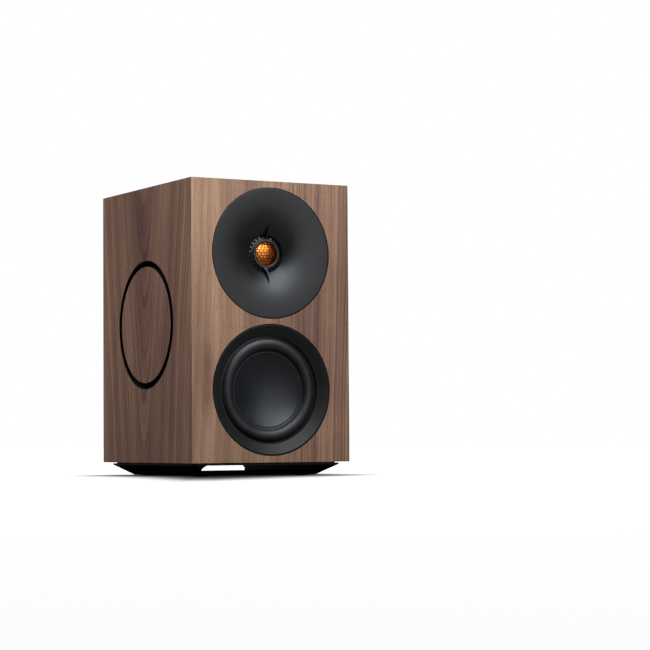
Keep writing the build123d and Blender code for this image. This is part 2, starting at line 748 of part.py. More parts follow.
# ------------------------------------------------------------------ amplifier panel
gasket_end = amp_recess_depth
plate_back = gasket_end - 0.8
plate_front = plate_back - 3.0
board_start = 27.0
board_end = board_start + 1.6

inlet_centre = (38.0, -72.0)
inlet_body = (27.0, 20.0)
inlet_cavity = (24.6, 16.6)
switch_centre = (2.0, -72.0)
switch_body = (19.4, 13.2)
button_centre = (-30.0, -38.0)
button_radius = 4.0
socket_centres = [(-30.0, -72.0), (-48.0, -72.0), (-48.0, -54.0)]
socket_radius = 4.2
link_centre = (-48.0, -32.0)
link_body = (16.0, 13.4)
standoff_points = [(x, y) for x in (-50.0, 50.0) for y in (-20.0, 55.0)]

with BuildPart() as amp_gasket:
    add(slab(amp_face, (0, 0), amp_width, amp_height, plate_back, gasket_end, 4.0))
    add(slab(amp_face, (0, 0), amp_width - 2 * amp_ledge, amp_height - 2 * amp_ledge,
             plate_back, gasket_end, 4.0), mode=Mode.SUBTRACT)
    add(pegs(amp_screw_points, amp_screw_radius + screw_gap, amp_face,
             plate_back, gasket_end), mode=Mode.SUBTRACT)
save(amp_gasket, "amp_gasket")

with BuildPart() as amp_plate:
    add(slab(amp_face, (0, 0), amp_width, amp_height, plate_front, plate_back, 4.0))
    add(slab(amp_face, inlet_centre, *inlet_body, plate_front, plate_back), mode=Mode.SUBTRACT)
    add(slab(amp_face, switch_centre, *switch_body, plate_front, plate_back),
        mode=Mode.SUBTRACT)
    add(slab(amp_face, link_centre, *link_body, plate_front, plate_back), mode=Mode.SUBTRACT)
    add(pegs(amp_screw_points, amp_screw_radius + screw_gap, amp_face,
             plate_front, plate_back), mode=Mode.SUBTRACT)
    add(pegs([button_centre], button_radius + 0.4, amp_face, plate_front, plate_back),
        mode=Mode.SUBTRACT)
    add(pegs(socket_centres, socket_radius, amp_face, plate_front, plate_back),
        mode=Mode.SUBTRACT)
save(amp_plate, "amp_plate")

with BuildPart() as amp_screws:
    add(screws(amp_face, amp_screw_points, 2.8, amp_screw_radius,
               plate_front - 2.0, plate_front, amp_screw_tip))
save(amp_screws, "amp_screws")

sink_fin_count = 15
sink_fin_spacing = 7.2
sink_fin_start = 0.4
sink_base_start = plate_front - 1.4
heatsink_centre = (0.0, 40.0)
heatsink_width = 106.0
heatsink_height = 84.0
with BuildPart() as heatsink:
    add(slab(amp_face, heatsink_centre, heatsink_width, heatsink_height,
             sink_base_start, plate_front))
    with BuildSketch(amp_face.offset(-sink_fin_start)):
        with Locations(heatsink_centre):
            with GridLocations(sink_fin_spacing, 1, sink_fin_count, 1):
                Rectangle(1.6, heatsink_height)
    extrude(amount=sink_fin_start - sink_base_start)
save(heatsink, "heatsink")

inlet_flange_front = plate_front - 2.0
inlet_floor = plate_back + 15.0
with BuildPart() as mains_inlet:
    add(slab(amp_face, inlet_centre, inlet_body[0] + 4, inlet_body[1] + 4,
             inlet_flange_front, plate_front, 2.0))
    add(slab(amp_face, inlet_centre, inlet_body[0] - 0.2, inlet_body[1] - 0.2,
             plate_front, inlet_floor + 2))
    add(slab(amp_face, inlet_centre, *inlet_cavity, inlet_flange_front, inlet_floor, 2.0),
        mode=Mode.SUBTRACT)
    for pin_x, pin_y in ((-7.0, -2.0), (0.0, 2.0), (7.0, -2.0)):
        spot = (inlet_centre[0] + pin_x, inlet_centre[1] + pin_y)
        add(slab(amp_face, spot, 2.0, 4.0, inlet_flange_front + 3, inlet_floor, 0.6))
save(mains_inlet, "mains_inlet")

switch_floor = plate_back + 12.0
rocker_tilt = 9.0
rocker_length = 15.0
rocker_width = 10.0
rocker_pin_radius = 1.2
rocker_pivot_depth = plate_front + 3.0
rocker_pivot = amp_face.from_local_coords((*switch_centre, -rocker_pivot_depth))
rocker_axle = Plane(rocker_pivot, x_dir=(-1, 0, 0), z_dir=(0, 0, 1))

with BuildPart() as switch_housing:
    add(slab(amp_face, switch_centre, switch_body[0] + 3, switch_body[1] + 3,
             plate_front - 1.6, plate_front, 1.5))
    add(slab(amp_face, switch_centre, switch_body[0] - 0.2, switch_body[1] - 0.2,
             plate_front, switch_floor))
    add(slab(amp_face, switch_centre, switch_body[0] - 2.2, switch_body[1] - 2.2,
             plate_front - 1.6, switch_floor - 1.2), mode=Mode.SUBTRACT)
    with BuildSketch(rocker_axle):
        Circle(rocker_pin_radius + 0.05)
    extrude(amount=switch_body[1] / 2 - 0.4, both=True, mode=Mode.SUBTRACT)
save(switch_housing, "switch_housing")

rocker_section = rocker_axle.rotated((0, 0, rocker_tilt))
with BuildPart() as power_rocker:
    with BuildSketch(rocker_section):
        with BuildLine():
            half_length = rocker_length / 2
            ThreePointArc((-half_length, -4.2), (0, -3.0), (half_length, -4.2))
            Polyline((half_length, -4.2), (half_length - 1.0, 1.0), (3.0, 3.4),
                     (-3.0, 3.4), (1.0 - half_length, 1.0), (-half_length, -4.2))
        make_face()
    extrude(amount=rocker_width / 2, both=True)
    with BuildSketch(rocker_axle):
        Circle(rocker_pin_radius)
    extrude(amount=switch_body[1] / 2 - 0.5, both=True)
save(power_rocker, "power_rocker")

button_face = Plane(amp_face.from_local_coords((*button_centre, 0)), amp_face.x_dir,
                    amp_face.z_dir)
with BuildPart() as pairing_button:
    add(ring(button_face, button_radius, 0, 3.0, 15.0))
    add(ring(button_face, button_radius + 1.2, 0, plate_back + 0.4, plate_back + 1.8))
    fillet(pairing_button.faces().sort_by(Axis.Y)[-1].edges(), 0.8)
save(pairing_button, "pairing_button")

with BuildPart() as input_sockets:
    for socket_centre in socket_centres:
        place = Plane(amp_face.from_local_coords((*socket_centre, 0)), amp_face.x_dir,
                      amp_face.z_dir)
        add(ring(place, socket_radius - 0.1, 0, 0.6, 20.0))
        add(ring(place, socket_radius + 1.4, 0, plate_front - 1.0, plate_front))
        add(ring(place, socket_radius + 1.4, 0, plate_back, plate_back + 2.5))
        add(ring(place, 1.6, 0, 0.6, 14.0), mode=Mode.SUBTRACT)
    # the link socket, a rectangular jack
    add(slab(amp_face, link_centre, link_body[0] - 0.2, link_body[1] - 0.2,
             plate_front - 1.0, plate_back + 14))
    add(slab(amp_face, link_centre, 11.8, 8.2, plate_front - 1.0, plate_back + 12),
        mode=Mode.SUBTRACT)
save(input_sockets, "input_sockets")

board_centre = (0.0, 15.0)
with BuildPart() as amp_board:
    add(slab(amp_face, board_centre, 112, 92, board_start, board_end, 2.0))
    add(pegs(standoff_points, 1.6, amp_face, board_start, board_end), mode=Mode.SUBTRACT)
save(amp_board, "amp_board")

with BuildPart() as board_standoffs:
    for point in standoff_points:
        place = Plane(amp_face.from_local_coords((*point, 0)), amp_face.x_dir, amp_face.z_dir)
        add(ring(place, 3.0, 0, plate_back, board_start))
        add(ring(place, 1.5, 0, board_start, board_end + 2))
save(board_standoffs, "board_standoffs")

capacitor_points = [(-34.0, 44.0), (-12.0, 44.0)]
with BuildPart() as amp_components:
    for point in capacitor_points:
        place = Plane(amp_face.from_local_coords((*point, 0)), amp_face.x_dir, amp_face.z_dir)
        add(ring(place, 9.0, 0, board_end, board_end + 25))
    add(slab(amp_face, (-34, 8), 18, 18, board_end, board_end + 12, 2.0))
    add(slab(amp_face, (-10, 8), 18, 18, board_end, board_end + 12, 2.0))
    add(slab(amp_face, (26, -18), 26, 10, board_end, board_end + 7))
save(amp_components, "amp_components")

with BuildPart() as power_transformer:
    add(slab(amp_face, (32, 34), 34, 28, board_end, board_end + 26, 2.0))
    add(slab(amp_face, (32, 34), 24, 34, board_end + 5, board_end + 21, 2.0))
save(power_transformer, "power_transformer")

# ------------------------------------------------------------------ internal leads
lead_radius = 1.5
board_y = rear_y - board_end
woofer_tab_y = front_y + 27.0
tweeter_tab_y = front_y + top_plate_end

woofer_route = [
    (0, woofer_tab_y, woofer_z + 53), (0, woofer_tab_y + 30, woofer_z + 53),
    (6, -10, woofer_z + 48), (10, 34, woofer_z + 38), (0, board_y - 16, woofer_z + 36),
    (0, board_y, woofer_z + 36),
]
tweeter_route = [
    (0, tweeter_tab_y, tweeter_z - 33.5), (0, tweeter_tab_y + 34, tweeter_z - 33.5),
    (-8, -8, tweeter_z - 42), (-4, 32, tweeter_z - 46), (0, board_y - 20, tweeter_z - 60),
    (0, board_y, tweeter_z - 60),
]


def arc_radii(route):
    """Largest comfortable arc at each inner corner of a route."""
    points = [Vector(*point) for point in route]
    radii = []
    for before, corner, after in zip(points, points[1:], points[2:]):
        first, second = corner - before, after - corner
        turn = radians(first.get_angle(second))
        radii.append(0.45 * min(first.length, second.length) * cos(turn / 2) / sin(turn / 2))
    return radii


with BuildPart() as driver_leads:
    for route in (woofer_route, tweeter_route):
        radii = arc_radii(route)
        print("lead arc radii", [round(radius, 1) for radius in radii])
        with BuildLine() as lead_path:
            FilletPolyline(*route, radius=radii)
        with BuildSketch(Plane(route[0], x_dir=(1, 0, 0), z_dir=(0, 1, 0))):
            Circle(lead_radius)
        sweep(path=lead_path.wires()[0])
save(driver_leads, "driver_leads")
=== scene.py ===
"""Looks of the compact active bookshelf speaker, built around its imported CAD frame.

Metres, in the frame's own axes: +X right, the front faces -Y, +Z up, floor at Z = 0.
"""

import json
import math

import bmesh
import bpy
from mathutils import Matrix, Vector, noise

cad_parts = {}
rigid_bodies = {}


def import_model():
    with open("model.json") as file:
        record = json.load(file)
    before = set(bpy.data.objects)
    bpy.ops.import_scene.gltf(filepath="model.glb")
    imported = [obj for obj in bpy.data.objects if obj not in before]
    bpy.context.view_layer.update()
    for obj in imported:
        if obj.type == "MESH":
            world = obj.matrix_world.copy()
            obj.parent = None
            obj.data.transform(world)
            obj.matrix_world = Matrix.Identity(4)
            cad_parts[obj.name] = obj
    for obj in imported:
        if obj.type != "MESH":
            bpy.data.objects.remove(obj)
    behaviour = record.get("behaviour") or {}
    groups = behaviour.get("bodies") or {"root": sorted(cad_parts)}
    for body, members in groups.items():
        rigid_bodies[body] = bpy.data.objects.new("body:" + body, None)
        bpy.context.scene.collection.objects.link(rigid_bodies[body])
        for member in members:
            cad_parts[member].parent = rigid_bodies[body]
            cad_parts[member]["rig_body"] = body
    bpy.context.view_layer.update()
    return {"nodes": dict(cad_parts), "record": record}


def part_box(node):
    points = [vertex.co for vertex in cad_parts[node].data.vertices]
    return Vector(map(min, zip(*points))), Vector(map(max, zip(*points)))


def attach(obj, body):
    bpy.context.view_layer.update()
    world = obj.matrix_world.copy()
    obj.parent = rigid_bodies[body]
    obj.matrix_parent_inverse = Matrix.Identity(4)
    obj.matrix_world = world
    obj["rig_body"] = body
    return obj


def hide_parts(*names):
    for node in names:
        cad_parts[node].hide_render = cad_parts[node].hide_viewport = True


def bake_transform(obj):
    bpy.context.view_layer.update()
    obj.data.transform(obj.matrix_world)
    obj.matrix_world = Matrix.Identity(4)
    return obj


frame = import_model()

MM = 0.001
node_body = {node: body for body, nodes in frame["record"]["behaviour"]["bodies"].items()
             for node in nodes}
node_slot = {row["node"]: row["material_slot"] for row in frame["record"]["subparts"]}


def centre_of(node):
    low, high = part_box(node)
    return (low + high) / 2


# ---------------------------------------------------------------- places from the frame
baffle_low, baffle_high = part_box("front_baffle")
FRONT_Y = baffle_low.y
HALF_WIDTH = baffle_high.x
TOP_Z = baffle_high.z
FLOOR_OF_BOX_Z = baffle_low.z
BOX_HEIGHT = TOP_Z - FLOOR_OF_BOX_Z

horn_low, horn_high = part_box("tweeter_waveguide")
HORN_RADIUS = (horn_high.z - horn_low.z) / 2
HORN_CENTRE = Vector((0, FRONT_Y, centre_of("tweeter_waveguide").z))
trim_low, trim_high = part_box("woofer_trim_ring")
TRIM_RADIUS = (trim_high.z - trim_low.z) / 2
WOOFER_CENTRE = Vector((0, FRONT_Y, centre_of("woofer_trim_ring").z))
disc_low, disc_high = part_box("left_side_disc")
DISC_RADIUS = (disc_high.z - disc_low.z) / 2
DISC_CENTRE_Z = centre_of("left_side_disc").z
DISC_THICKNESS = disc_high.x - disc_low.x

# sizes that no box shows, each as in the CAD model, but for the shadow gap round a rim
RIM_GAP = 0.4 * MM
THROAT_RADIUS = 19.3 * MM
THROAT_DEPTH = 12.0 * MM
FLARE_LENGTH = 15.0 * MM
RING_INNER = 12.2 * MM
RING_OUTER = 15.0 * MM
RING_FRONT = 10.5 * MM
RING_BACK = 12.5 * MM
FIN_TIP = 31.5 * MM
MESH_DEPTH = 13.0 * MM
GUARD_APEX = 9.8 * MM
GUARD_RIM = 13.6 * MM
DOME_RIM = 13.9 * MM
DOME_APEX = 11.6 * MM
DOME_RIM_DEPTH = 15.4 * MM

INWARD = Vector((0, 1, 0))
RIGHT = Vector((1, 0, 0))


# ---------------------------------------------------------------- material building
class Graph:
    """Short hand for one material's node tree."""

    def __init__(self, name):
        self.material = bpy.data.materials.new(name)
        self.material.use_nodes = True
        self.tree = self.material.node_tree
        self.tree.nodes.clear()
        self.output = self.tree.nodes.new("ShaderNodeOutputMaterial")
        self.shader = self.tree.nodes.new("ShaderNodeBsdfPrincipled")
        self.tree.links.new(self.shader.outputs[0], self.output.inputs["Surface"])

    def put(self, socket, value):
        """Set a socket to a constant, or link it to another socket."""
        if isinstance(value, bpy.types.NodeSocket):
            self.tree.links.new(value, socket)
        else:
            socket.default_value = value

    def node(self, kind, result=0, inputs=None, **settings):
        """Add a node and give back one of its outputs."""
        node = self.tree.nodes.new(kind)
        for key, value in settings.items():
            setattr(node, key, value)
        for key, value in (inputs or {}).items():
            self.put(node.inputs[key], value)
        return node.outputs[result]

    def maths(self, operation, first, second=0.0):
        return self.node("ShaderNodeMath", operation=operation, inputs={0: first, 1: second})

    def plus(self, first, second):
        return self.maths("ADD", first, second)

    def minus(self, first, second):
        return self.maths("SUBTRACT", first, second)

    def times(self, first, second):
        return self.maths("MULTIPLY", first, second)

    def over(self, first, second):
        return self.maths("DIVIDE", first, second)

    def length(self, first, second):
        """Length of the arm with these two legs."""
        return self.maths("SQRT", self.plus(self.maths("POWER", first, 2.0),
                                            self.maths("POWER", second, 2.0)))

    def bell(self, value, width):
        """1 where value is 0, falling smoothly on both sides."""
        squared = self.maths("POWER", self.over(value, width), 2.0)
        return self.maths("POWER", math.e, self.times(squared, -1.0))

    def object_axes(self):
        """The point in the frame's own axes, whole and as X, Y and Z."""
        place = self.node("ShaderNodeTexCoord", result="Object")
        split = self.tree.nodes.new("ShaderNodeSeparateXYZ")
        self.put(split.inputs[0], place)
        return place, split.outputs

    def vector(self, x, y, z=0.0):
        return self.node("ShaderNodeCombineXYZ", inputs={0: x, 1: y, 2: z})

    def noise(self, vector, scale=1.0, detail=2.0):
        return self.node("ShaderNodeTexNoise", inputs={
            "Vector": vector, "Scale": scale, "Detail": detail})

    def ramp(self, factor, stops, interpolation="LINEAR"):
        """Colour ramp from (position, (r, g, b)) stops."""
        node = self.tree.nodes.new("ShaderNodeValToRGB")
        self.put(node.inputs[0], factor)
        node.color_ramp.interpolation = interpolation
        elements = node.color_ramp.elements
        while len(elements) < len(stops):
            elements.new(0.5)
        for element, (position, colour) in zip(elements, stops):
            element.position = position
            element.color = (*colour, 1.0)
        return node.outputs[0]

    def remap(self, value, low, high, to_low=0.0, to_high=1.0):
        return self.node("ShaderNodeMapRange", inputs={
            "Value": value, "From Min": low, "From Max": high,
            "To Min": to_low, "To Max": to_high})

    def mix(self, factor, first, second, blend="MIX"):
        node = self.tree.nodes.new("ShaderNodeMix")
        node.data_type = "RGBA"
        node.blend_type = blend
        self.put(node.inputs[0], factor)
        self.put(node.inputs[6], first)
        self.put(node.inputs[7], second)
        return node.outputs[2]

    def bump(self, height, strength, distance):
        normal = self.node("ShaderNodeBump", inputs={
            "Height": height, "Strength": strength, "Distance": distance})
        self.put(self.shader.inputs["Normal"], normal)

    def finish(self, **values):
        """Set the shader's own sockets, by name with _ for spaces."""
        for key, value in values.items():
            self.put(self.shader.inputs[key.replace("_", " ")], value)
        return self.material


def rgb(red, green, blue):
    """Linear colour from 0-255 display values."""
    def linear(value):
        share = value / 255
        return share / 12.92 if share <= 0.04045 else ((share + 0.055) / 1.055) ** 2.4
    return (linear(red), linear(green), linear(blue))


X_AXIS, Y_AXIS, Z_AXIS = range(3)
PLAIN = (1.0, 1.0, 1.0)

# walnut: display colours from dark to light, spacing of the growth rings' bands and lines
WALNUT_TONES = ((0.30, (112, 82, 71)), (0.41, (142, 108, 89)), (0.52, (170, 134, 108)),
                (0.66, (204, 166, 133)))
WALNUT_LINE = (78, 54, 48)
WALNUT_PORE = (46, 32, 28)
BAND_SPACING = 15 * MM
RING_SPACING = 3.6 * MM
FINE_SPACING = 1.3 * MM
LINE_SPACING = 5.3 * MM
HAIR_SPACING = 2.3 * MM
WANDER = 20 * MM
ARCH_WIDTH = 30 * MM
HEART_WIDTH = 34 * MM
STREAK_TIP_FADE = 30 * MM
STREAK_FOOT_FADE = 40 * MM
CALM_UNTIL = -60 * MM
LIVELY_FROM = 40 * MM


def walnut(name, across, along, heart, slant, seed, tint=PLAIN, heart_shade=0.0,
           shade_across=0.0, contrast=1.0, calm_side=1.0, streaks=()):
    """Walnut veneer. Grain runs along one axis; growth rings are hyperbolas round heart.

    across and along are axis numbers, heart the place of the arches' tops across the
    grain and slant how far they reach along it. tint scales the colours. heart_shade
    darkens the wood round the heart, shade_across the side it counts up to. contrast is
    how strong the lines are, calm_side how much of that stays on the low side. Each of
    the streaks is a soft dark patch: its place across, its tip, its foot, its width and
    its strength.
    """
    graph = Graph(name)
    _, axes = graph.object_axes()
    u = axes[across]
    v = axes[along]

    def stretched(across_scale, along_scale, offset, detail=2.0):
        """Noise drawn out along the grain."""
        return graph.noise(graph.vector(graph.times(u, across_scale), graph.times(v, along_scale),
                                        seed + offset), 1.0, detail)

    wander = graph.times(graph.minus(stretched(14.0, 3.2, 0.0, 3.0), 0.5), WANDER)
    from_heart = graph.plus(graph.minus(u, heart), wander)
    ring = graph.minus(graph.length(from_heart, ARCH_WIDTH), graph.over(v, slant))

    def along_ring(spacing, detail, offset):
        """Noise that is the same all along a growth ring."""
        return graph.noise(graph.vector(graph.over(ring, spacing), seed + offset, 0.0), 1.0,
                           detail)

    def dark_lines(spacing, drift, start):
        """Narrow lines at uneven spacing, sharp on one side as growth rings are."""
        count = graph.plus(graph.over(ring, spacing), graph.times(broad, drift))
        return graph.ramp(graph.maths("FRACT", count), [
            (0.0, (0.0,) * 3), (start, (0.03,) * 3), (0.86, (1.0,) * 3), (0.95, (0.9,) * 3),
            (1.0, (0.0,) * 3)])

    broad = along_ring(BAND_SPACING, 1.0, 3.1)
    middle = along_ring(RING_SPACING, 2.0, 7.7)
    fine = along_ring(FINE_SPACING, 2.0, 11.3)
    line_patches = graph.remap(stretched(40.0, 6.0, 31.0), 0.35, 0.65, 0.35, 1.0)
    hair_patches = graph.remap(stretched(60.0, 8.0, 47.0), 0.4, 0.7, 0.1, 1.0)
    lines = graph.times(dark_lines(LINE_SPACING, 3.0, 0.70), line_patches)
    hair_lines = graph.times(dark_lines(HAIR_SPACING, 2.0, 0.62), hair_patches)
    fibre = stretched(1300.0, 24.0, 2.0)
    pores = graph.remap(stretched(2300.0, 150.0, 5.0, 1.0), 0.60, 0.72)

    # tone: bands and clouds, then the rings, then what darkens whole areas
    figure = graph.remap(u, CALM_UNTIL, LIVELY_FROM, calm_side * contrast, contrast)
    cloudy = stretched(26.0, 5.0, 61.0, 3.0)
    swing = graph.plus(graph.times(graph.minus(middle, 0.5), 0.34),
                       graph.times(graph.minus(fine, 0.5), 0.20))
    tone = graph.plus(graph.plus(graph.times(broad, 0.40), graph.times(cloudy, 0.30)),
                      graph.plus(graph.times(swing, figure), 0.15))
    tone = graph.minus(tone, graph.times(graph.bell(from_heart, HEART_WIDTH), heart_shade))
    tone = graph.minus(tone, graph.times(u, shade_across))
    for place_across, tip, foot, width, strength in streaks:
        streak = graph.bell(graph.plus(graph.minus(u, place_across), wander), width)
        ends = graph.times(graph.remap(v, tip, tip - STREAK_TIP_FADE),
                           graph.remap(v, foot, foot + STREAK_FOOT_FADE))
        tone = graph.minus(tone, graph.times(graph.times(streak, ends), strength))

    def tinted(colour):
        return tuple(channel * share for channel, share in zip(rgb(*colour), tint))

    dark = (*tinted(WALNUT_LINE), 1)
    colour = graph.ramp(tone, [(place, tinted(shade)) for place, shade in WALNUT_TONES])
    colour = graph.mix(graph.times(graph.times(lines, figure), 0.9), colour, dark)
    colour = graph.mix(graph.times(graph.times(hair_lines, figure), 0.46), colour, dark)
    colour = graph.mix(graph.remap(fibre, 0.3, 0.7, 0.0, 0.30), colour, dark)
    colour = graph.mix(graph.times(pores, 0.5), colour, (*tinted(WALNUT_PORE), 1))
    graph.bump(graph.minus(graph.times(fibre, 0.3), pores), 0.25, 0.06 * MM)
    return graph.finish(Base_Color=colour, Roughness=graph.remap(fibre, 0.2, 0.8, 0.44, 0.58),
                        Specular_IOR_Level=0.35)


def moulded(name, colour, roughness, specular=0.5, bump=0.12, gloss_tint=PLAIN):
    """Moulded plastic or paint: a fine spark-eroded grain with slightly uneven gloss."""
    graph = Graph(name)
    place, _ = graph.object_axes()
    speck = graph.noise(place, 3200.0, 2.0)
    cloud = graph.noise(place, 55.0, 3.0)
    shade = graph.ramp(cloud, [(0.3, [channel * 0.88 for channel in colour]),
                               (0.7, [channel * 1.12 for channel in colour])])
    gloss = graph.plus(graph.remap(cloud, 0.3, 0.7, roughness - 0.03, roughness + 0.03),
                       graph.times(graph.minus(speck, 0.5), 0.07))
    graph.bump(speck, bump, 0.05 * MM)
    return graph.finish(Base_Color=shade, Roughness=gloss, Specular_IOR_Level=specular,
                        Specular_Tint=(*gloss_tint, 1))


def metal(name, colour, roughness, brushed_axis=None, metallic=1.0):
    """Bare or anodised metal, brushed along one axis if given."""
    graph = Graph(name)
    place, axes = graph.object_axes()
    if brushed_axis is None:
        marks = graph.noise(place, 900.0, 3.0)
    else:
        scaled = [graph.times(axes[i], 20.0 if i == brushed_axis else 2500.0)
                  for i in range(3)]
        marks = graph.noise(graph.vector(*scaled), 1.0, 2.0)
    cloud = graph.noise(place, 120.0, 2.0)
    shade = graph.ramp(cloud, [(0.3, [channel * 0.86 for channel in colour]),
                               (0.7, [min(channel * 1.1, 1) for channel in colour])])
    gloss = graph.remap(marks, 0.3, 0.7, roughness - 0.06, roughness + 0.08)
    graph.bump(marks, 0.08, 0.03 * MM)
    return graph.finish(Base_Color=shade, Roughness=gloss, Metallic=metallic)


def woven(name, colour, pitch=0.9 * MM):
    """Woven or felted fibre."""
    graph = Graph(name)
    place, _ = graph.object_axes()
    weave = graph.node("ShaderNodeTexVoronoi", inputs={"Vector": place, "Scale": 1 / pitch})
    fluff = graph.noise(place, 400.0, 4.0)
    shade = graph.ramp(graph.times(weave, fluff), [
        (0.0, [channel * 0.6 for channel in colour]), (0.5, colour)])
    graph.bump(weave, 0.5, 0.3 * MM)
    return graph.finish(Base_Color=shade, Roughness=0.9, Sheen_Weight=0.2)


def circuit(name):
    """Green solder mask with faint copper tracks under it."""
    graph = Graph(name)
    place, axes = graph.object_axes()
    tracks = graph.node("ShaderNodeTexBrick", inputs={
        "Vector": graph.vector(axes[X_AXIS], axes[Z_AXIS]), "Scale": 90.0, "Mortar Size": 0.03,
        "Color1": (*rgb(12, 74, 40), 1), "Color2": (*rgb(16, 84, 46), 1),
        "Mortar": (*rgb(40, 110, 62), 1)})
    cloud = graph.noise(place, 300.0)
    return graph.finish(Base_Color=tracks, Roughness=graph.remap(cloud, 0.3, 0.7, 0.28, 0.4))


front_veneer = walnut(
    "front_veneer", across=X_AXIS, along=Z_AXIS, heart=-150 * MM, slant=34.0, seed=4.0,
    tint=(0.875, 0.85, 0.85), shade_across=0.80, calm_side=0.3,
    streaks=((-73 * MM, 145 * MM, 40 * MM, 6 * MM, 0.14),
             (35 * MM, 240 * MM, 50 * MM, 45 * MM, 0.12)))
side_veneer = walnut(
    "side_veneer", across=Y_AXIS, along=Z_AXIS, heart=4 * MM, slant=11.0, seed=9.0,
    tint=(0.85, 0.81, 0.88), heart_shade=0.06, contrast=0.72)
top_veneer = walnut(
    "top_veneer", across=X_AXIS, along=Y_AXIS, heart=-140 * MM, slant=26.0, seed=17.0,
    tint=(0.93, 0.91, 0.92))
rear_veneer = walnut(
    "rear_veneer", across=X_AXIS, along=Z_AXIS, heart=140 * MM, slant=26.0, seed=23.0,
    tint=(0.93, 0.91, 0.92))
# a cool tint on the black plastics' gloss stands in for cool light: painted light colour on their
# reflections
COOL_LIGHT_TINT = (0.90, 0.95, 1.0)
bare_board = moulded("bare_board", rgb(164, 130, 92), 0.8, bump=0.4)
satin_black = moulded("satin_black", rgb(38, 39, 41), 0.40)
horn_black = moulded("horn_black", rgb(10, 11, 13), 0.38, gloss_tint=COOL_LIGHT_TINT)
trim_black = moulded("trim_black", rgb(24, 25, 27), 0.44, specular=0.26, gloss_tint=COOL_LIGHT_TINT)
cone_black = moulded("cone_black", rgb(14, 17, 21), 0.42, specular=0.46, gloss_tint=COOL_LIGHT_TINT)
rubber_black = moulded("rubber_black", rgb(20, 20, 22), 0.44, bump=0.06, gloss_tint=COOL_LIGHT_TINT)
plinth_black = moulded("plinth_black", rgb(38, 36, 41), 0.42, specular=0.3)
# near-black and dull: the black paint of some edges, and painted shade on the walls of gaps,
# recesses and slots
black_edge_and_shade = moulded("black_edge_and_shade", rgb(5, 5, 6), 0.8, specular=0.1)
mesh_black = metal("mesh_black", rgb(40, 40, 43), 0.28, metallic=0.8)
panel_black = moulded("panel_black", rgb(36, 36, 38), 0.55, bump=0.35)
orange_metal = metal("orange_metal", rgb(132, 54, 18), 0.38)
dome_gold = metal("dome_gold", rgb(255, 162, 76), 0.27)
steel = metal("steel", rgb(150, 150, 154), 0.3)
ferrite = moulded("ferrite", rgb(54, 54, 57), 0.6, bump=0.3)
copper = metal("copper", rgb(190, 110, 66), 0.3, brushed_axis=Y_AXIS)
cloth = woven("cloth", rgb(110, 84, 48))
black_cloth = woven("black_cloth", rgb(24, 24, 25))
wadding = woven("wadding", rgb(226, 226, 220), 2.5 * MM)
gloss_black = moulded("gloss_black", rgb(20, 20, 21), 0.16, bump=0.02)
board_green = circuit("board_green")

slot_material = {
    "bare_board": bare_board, "satin_black": satin_black, "black_metal": panel_black,
    "orange_metal": orange_metal, "dome_metal": dome_gold, "cone_black": cone_black,
    "rubber_black": rubber_black, "cloth": cloth, "wadding": wadding,
    "coil_copper": copper, "plated_steel": steel, "ferrite": ferrite,
    "cup_plastic": satin_black, "control_black": gloss_black,
    "circuit_board": board_green, "electronics": gloss_black,
    "lead_insulation": rubber_black, "walnut_veneer": rear_veneer,
}


# ---------------------------------------------------------------- mesh building
def new_piece(name, mesh, material, node, smooth_angle=35.0):
    """Wrap a finished mesh as a piece that stands for a CAD node and rides its body."""
    if smooth_angle:
        mesh.shade_smooth()
        mesh.set_sharp_from_angle(angle=math.radians(smooth_angle))
    mesh.materials.clear()
    mesh.materials.append(material)
    piece = bpy.data.objects.new(name, mesh)
    bpy.context.collection.objects.link(piece)
    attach(piece, node_body[node])
    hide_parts(node)
    return piece


def mesh_from(name, build):
    """Run build(bm) on an empty bmesh, turn its faces outward and give back the mesh."""
    bm = bmesh.new()
    build(bm)
    bmesh.ops.recalc_face_normals(bm, faces=bm.faces)
    mesh = bpy.data.meshes.new(name)
    bm.to_mesh(mesh)
    bm.free()
    return mesh


def spin(bm, outline, centre, inward=INWARD, across=RIGHT, steps=160):
    """Closed solid of revolution from (radius, depth) points given in order."""
    third = inward.cross(across)
    columns = []
    for radius, depth in outline:
        middle = centre + inward * depth
        if radius < 1e-7:
            columns.append([bm.verts.new(middle)] * steps)
            continue
        circle = []
        for step in range(steps):
            angle = 2 * math.pi * step / steps
            arm = across * math.cos(angle) + third * math.sin(angle)
            circle.append(bm.verts.new(middle + arm * radius))
        columns.append(circle)
    for first, second in zip(columns, columns[1:] + columns[:1]):
        for step in range(steps):
            after = (step + 1) % steps
            corners = [first[step], first[after], second[after], second[step]]
            unique = list(dict.fromkeys(corners))
            if len(unique) > 2:
                bm.faces.new(unique)


def join_rings(bm, rings):
    """Walls between neighbouring rings of as many vertices, with both ends closed."""
    for first, second in zip(rings, rings[1:]):
        for index in range(len(first)):
            after = (index + 1) % len(first)
            bm.faces.new((first[index], first[after], second[after], second[index]))
    bm.faces.new(rings[0])
    bm.faces.new(rings[-1])


def rounded(corners, radius, steps=5):
    """Round every corner of a closed outline whose sides are long enough."""
    points = []
    count = len(corners)
    for index in range(count):
        before = Vector(corners[index - 1])
        corner = Vector(corners[index])
        after = Vector(corners[(index + 1) % count])
        back = before - corner
        ahead = after - corner
        angle = back.angle(ahead)
        if corner.x < 1e-7 or math.pi - angle < math.radians(8):
            points.append(tuple(corner))
            continue
        reach = min(radius / math.tan(angle / 2), 0.45 * back.length, 0.45 * ahead.length)
        start = corner + back.normalized() * reach
        end = corner + ahead.normalized() * reach
        for step in range(steps + 1):
            share = step / steps
            near = start.lerp(corner, share)
            far = corner.lerp(end, share)
            points.append(tuple(near.lerp(far, share)))
    return points


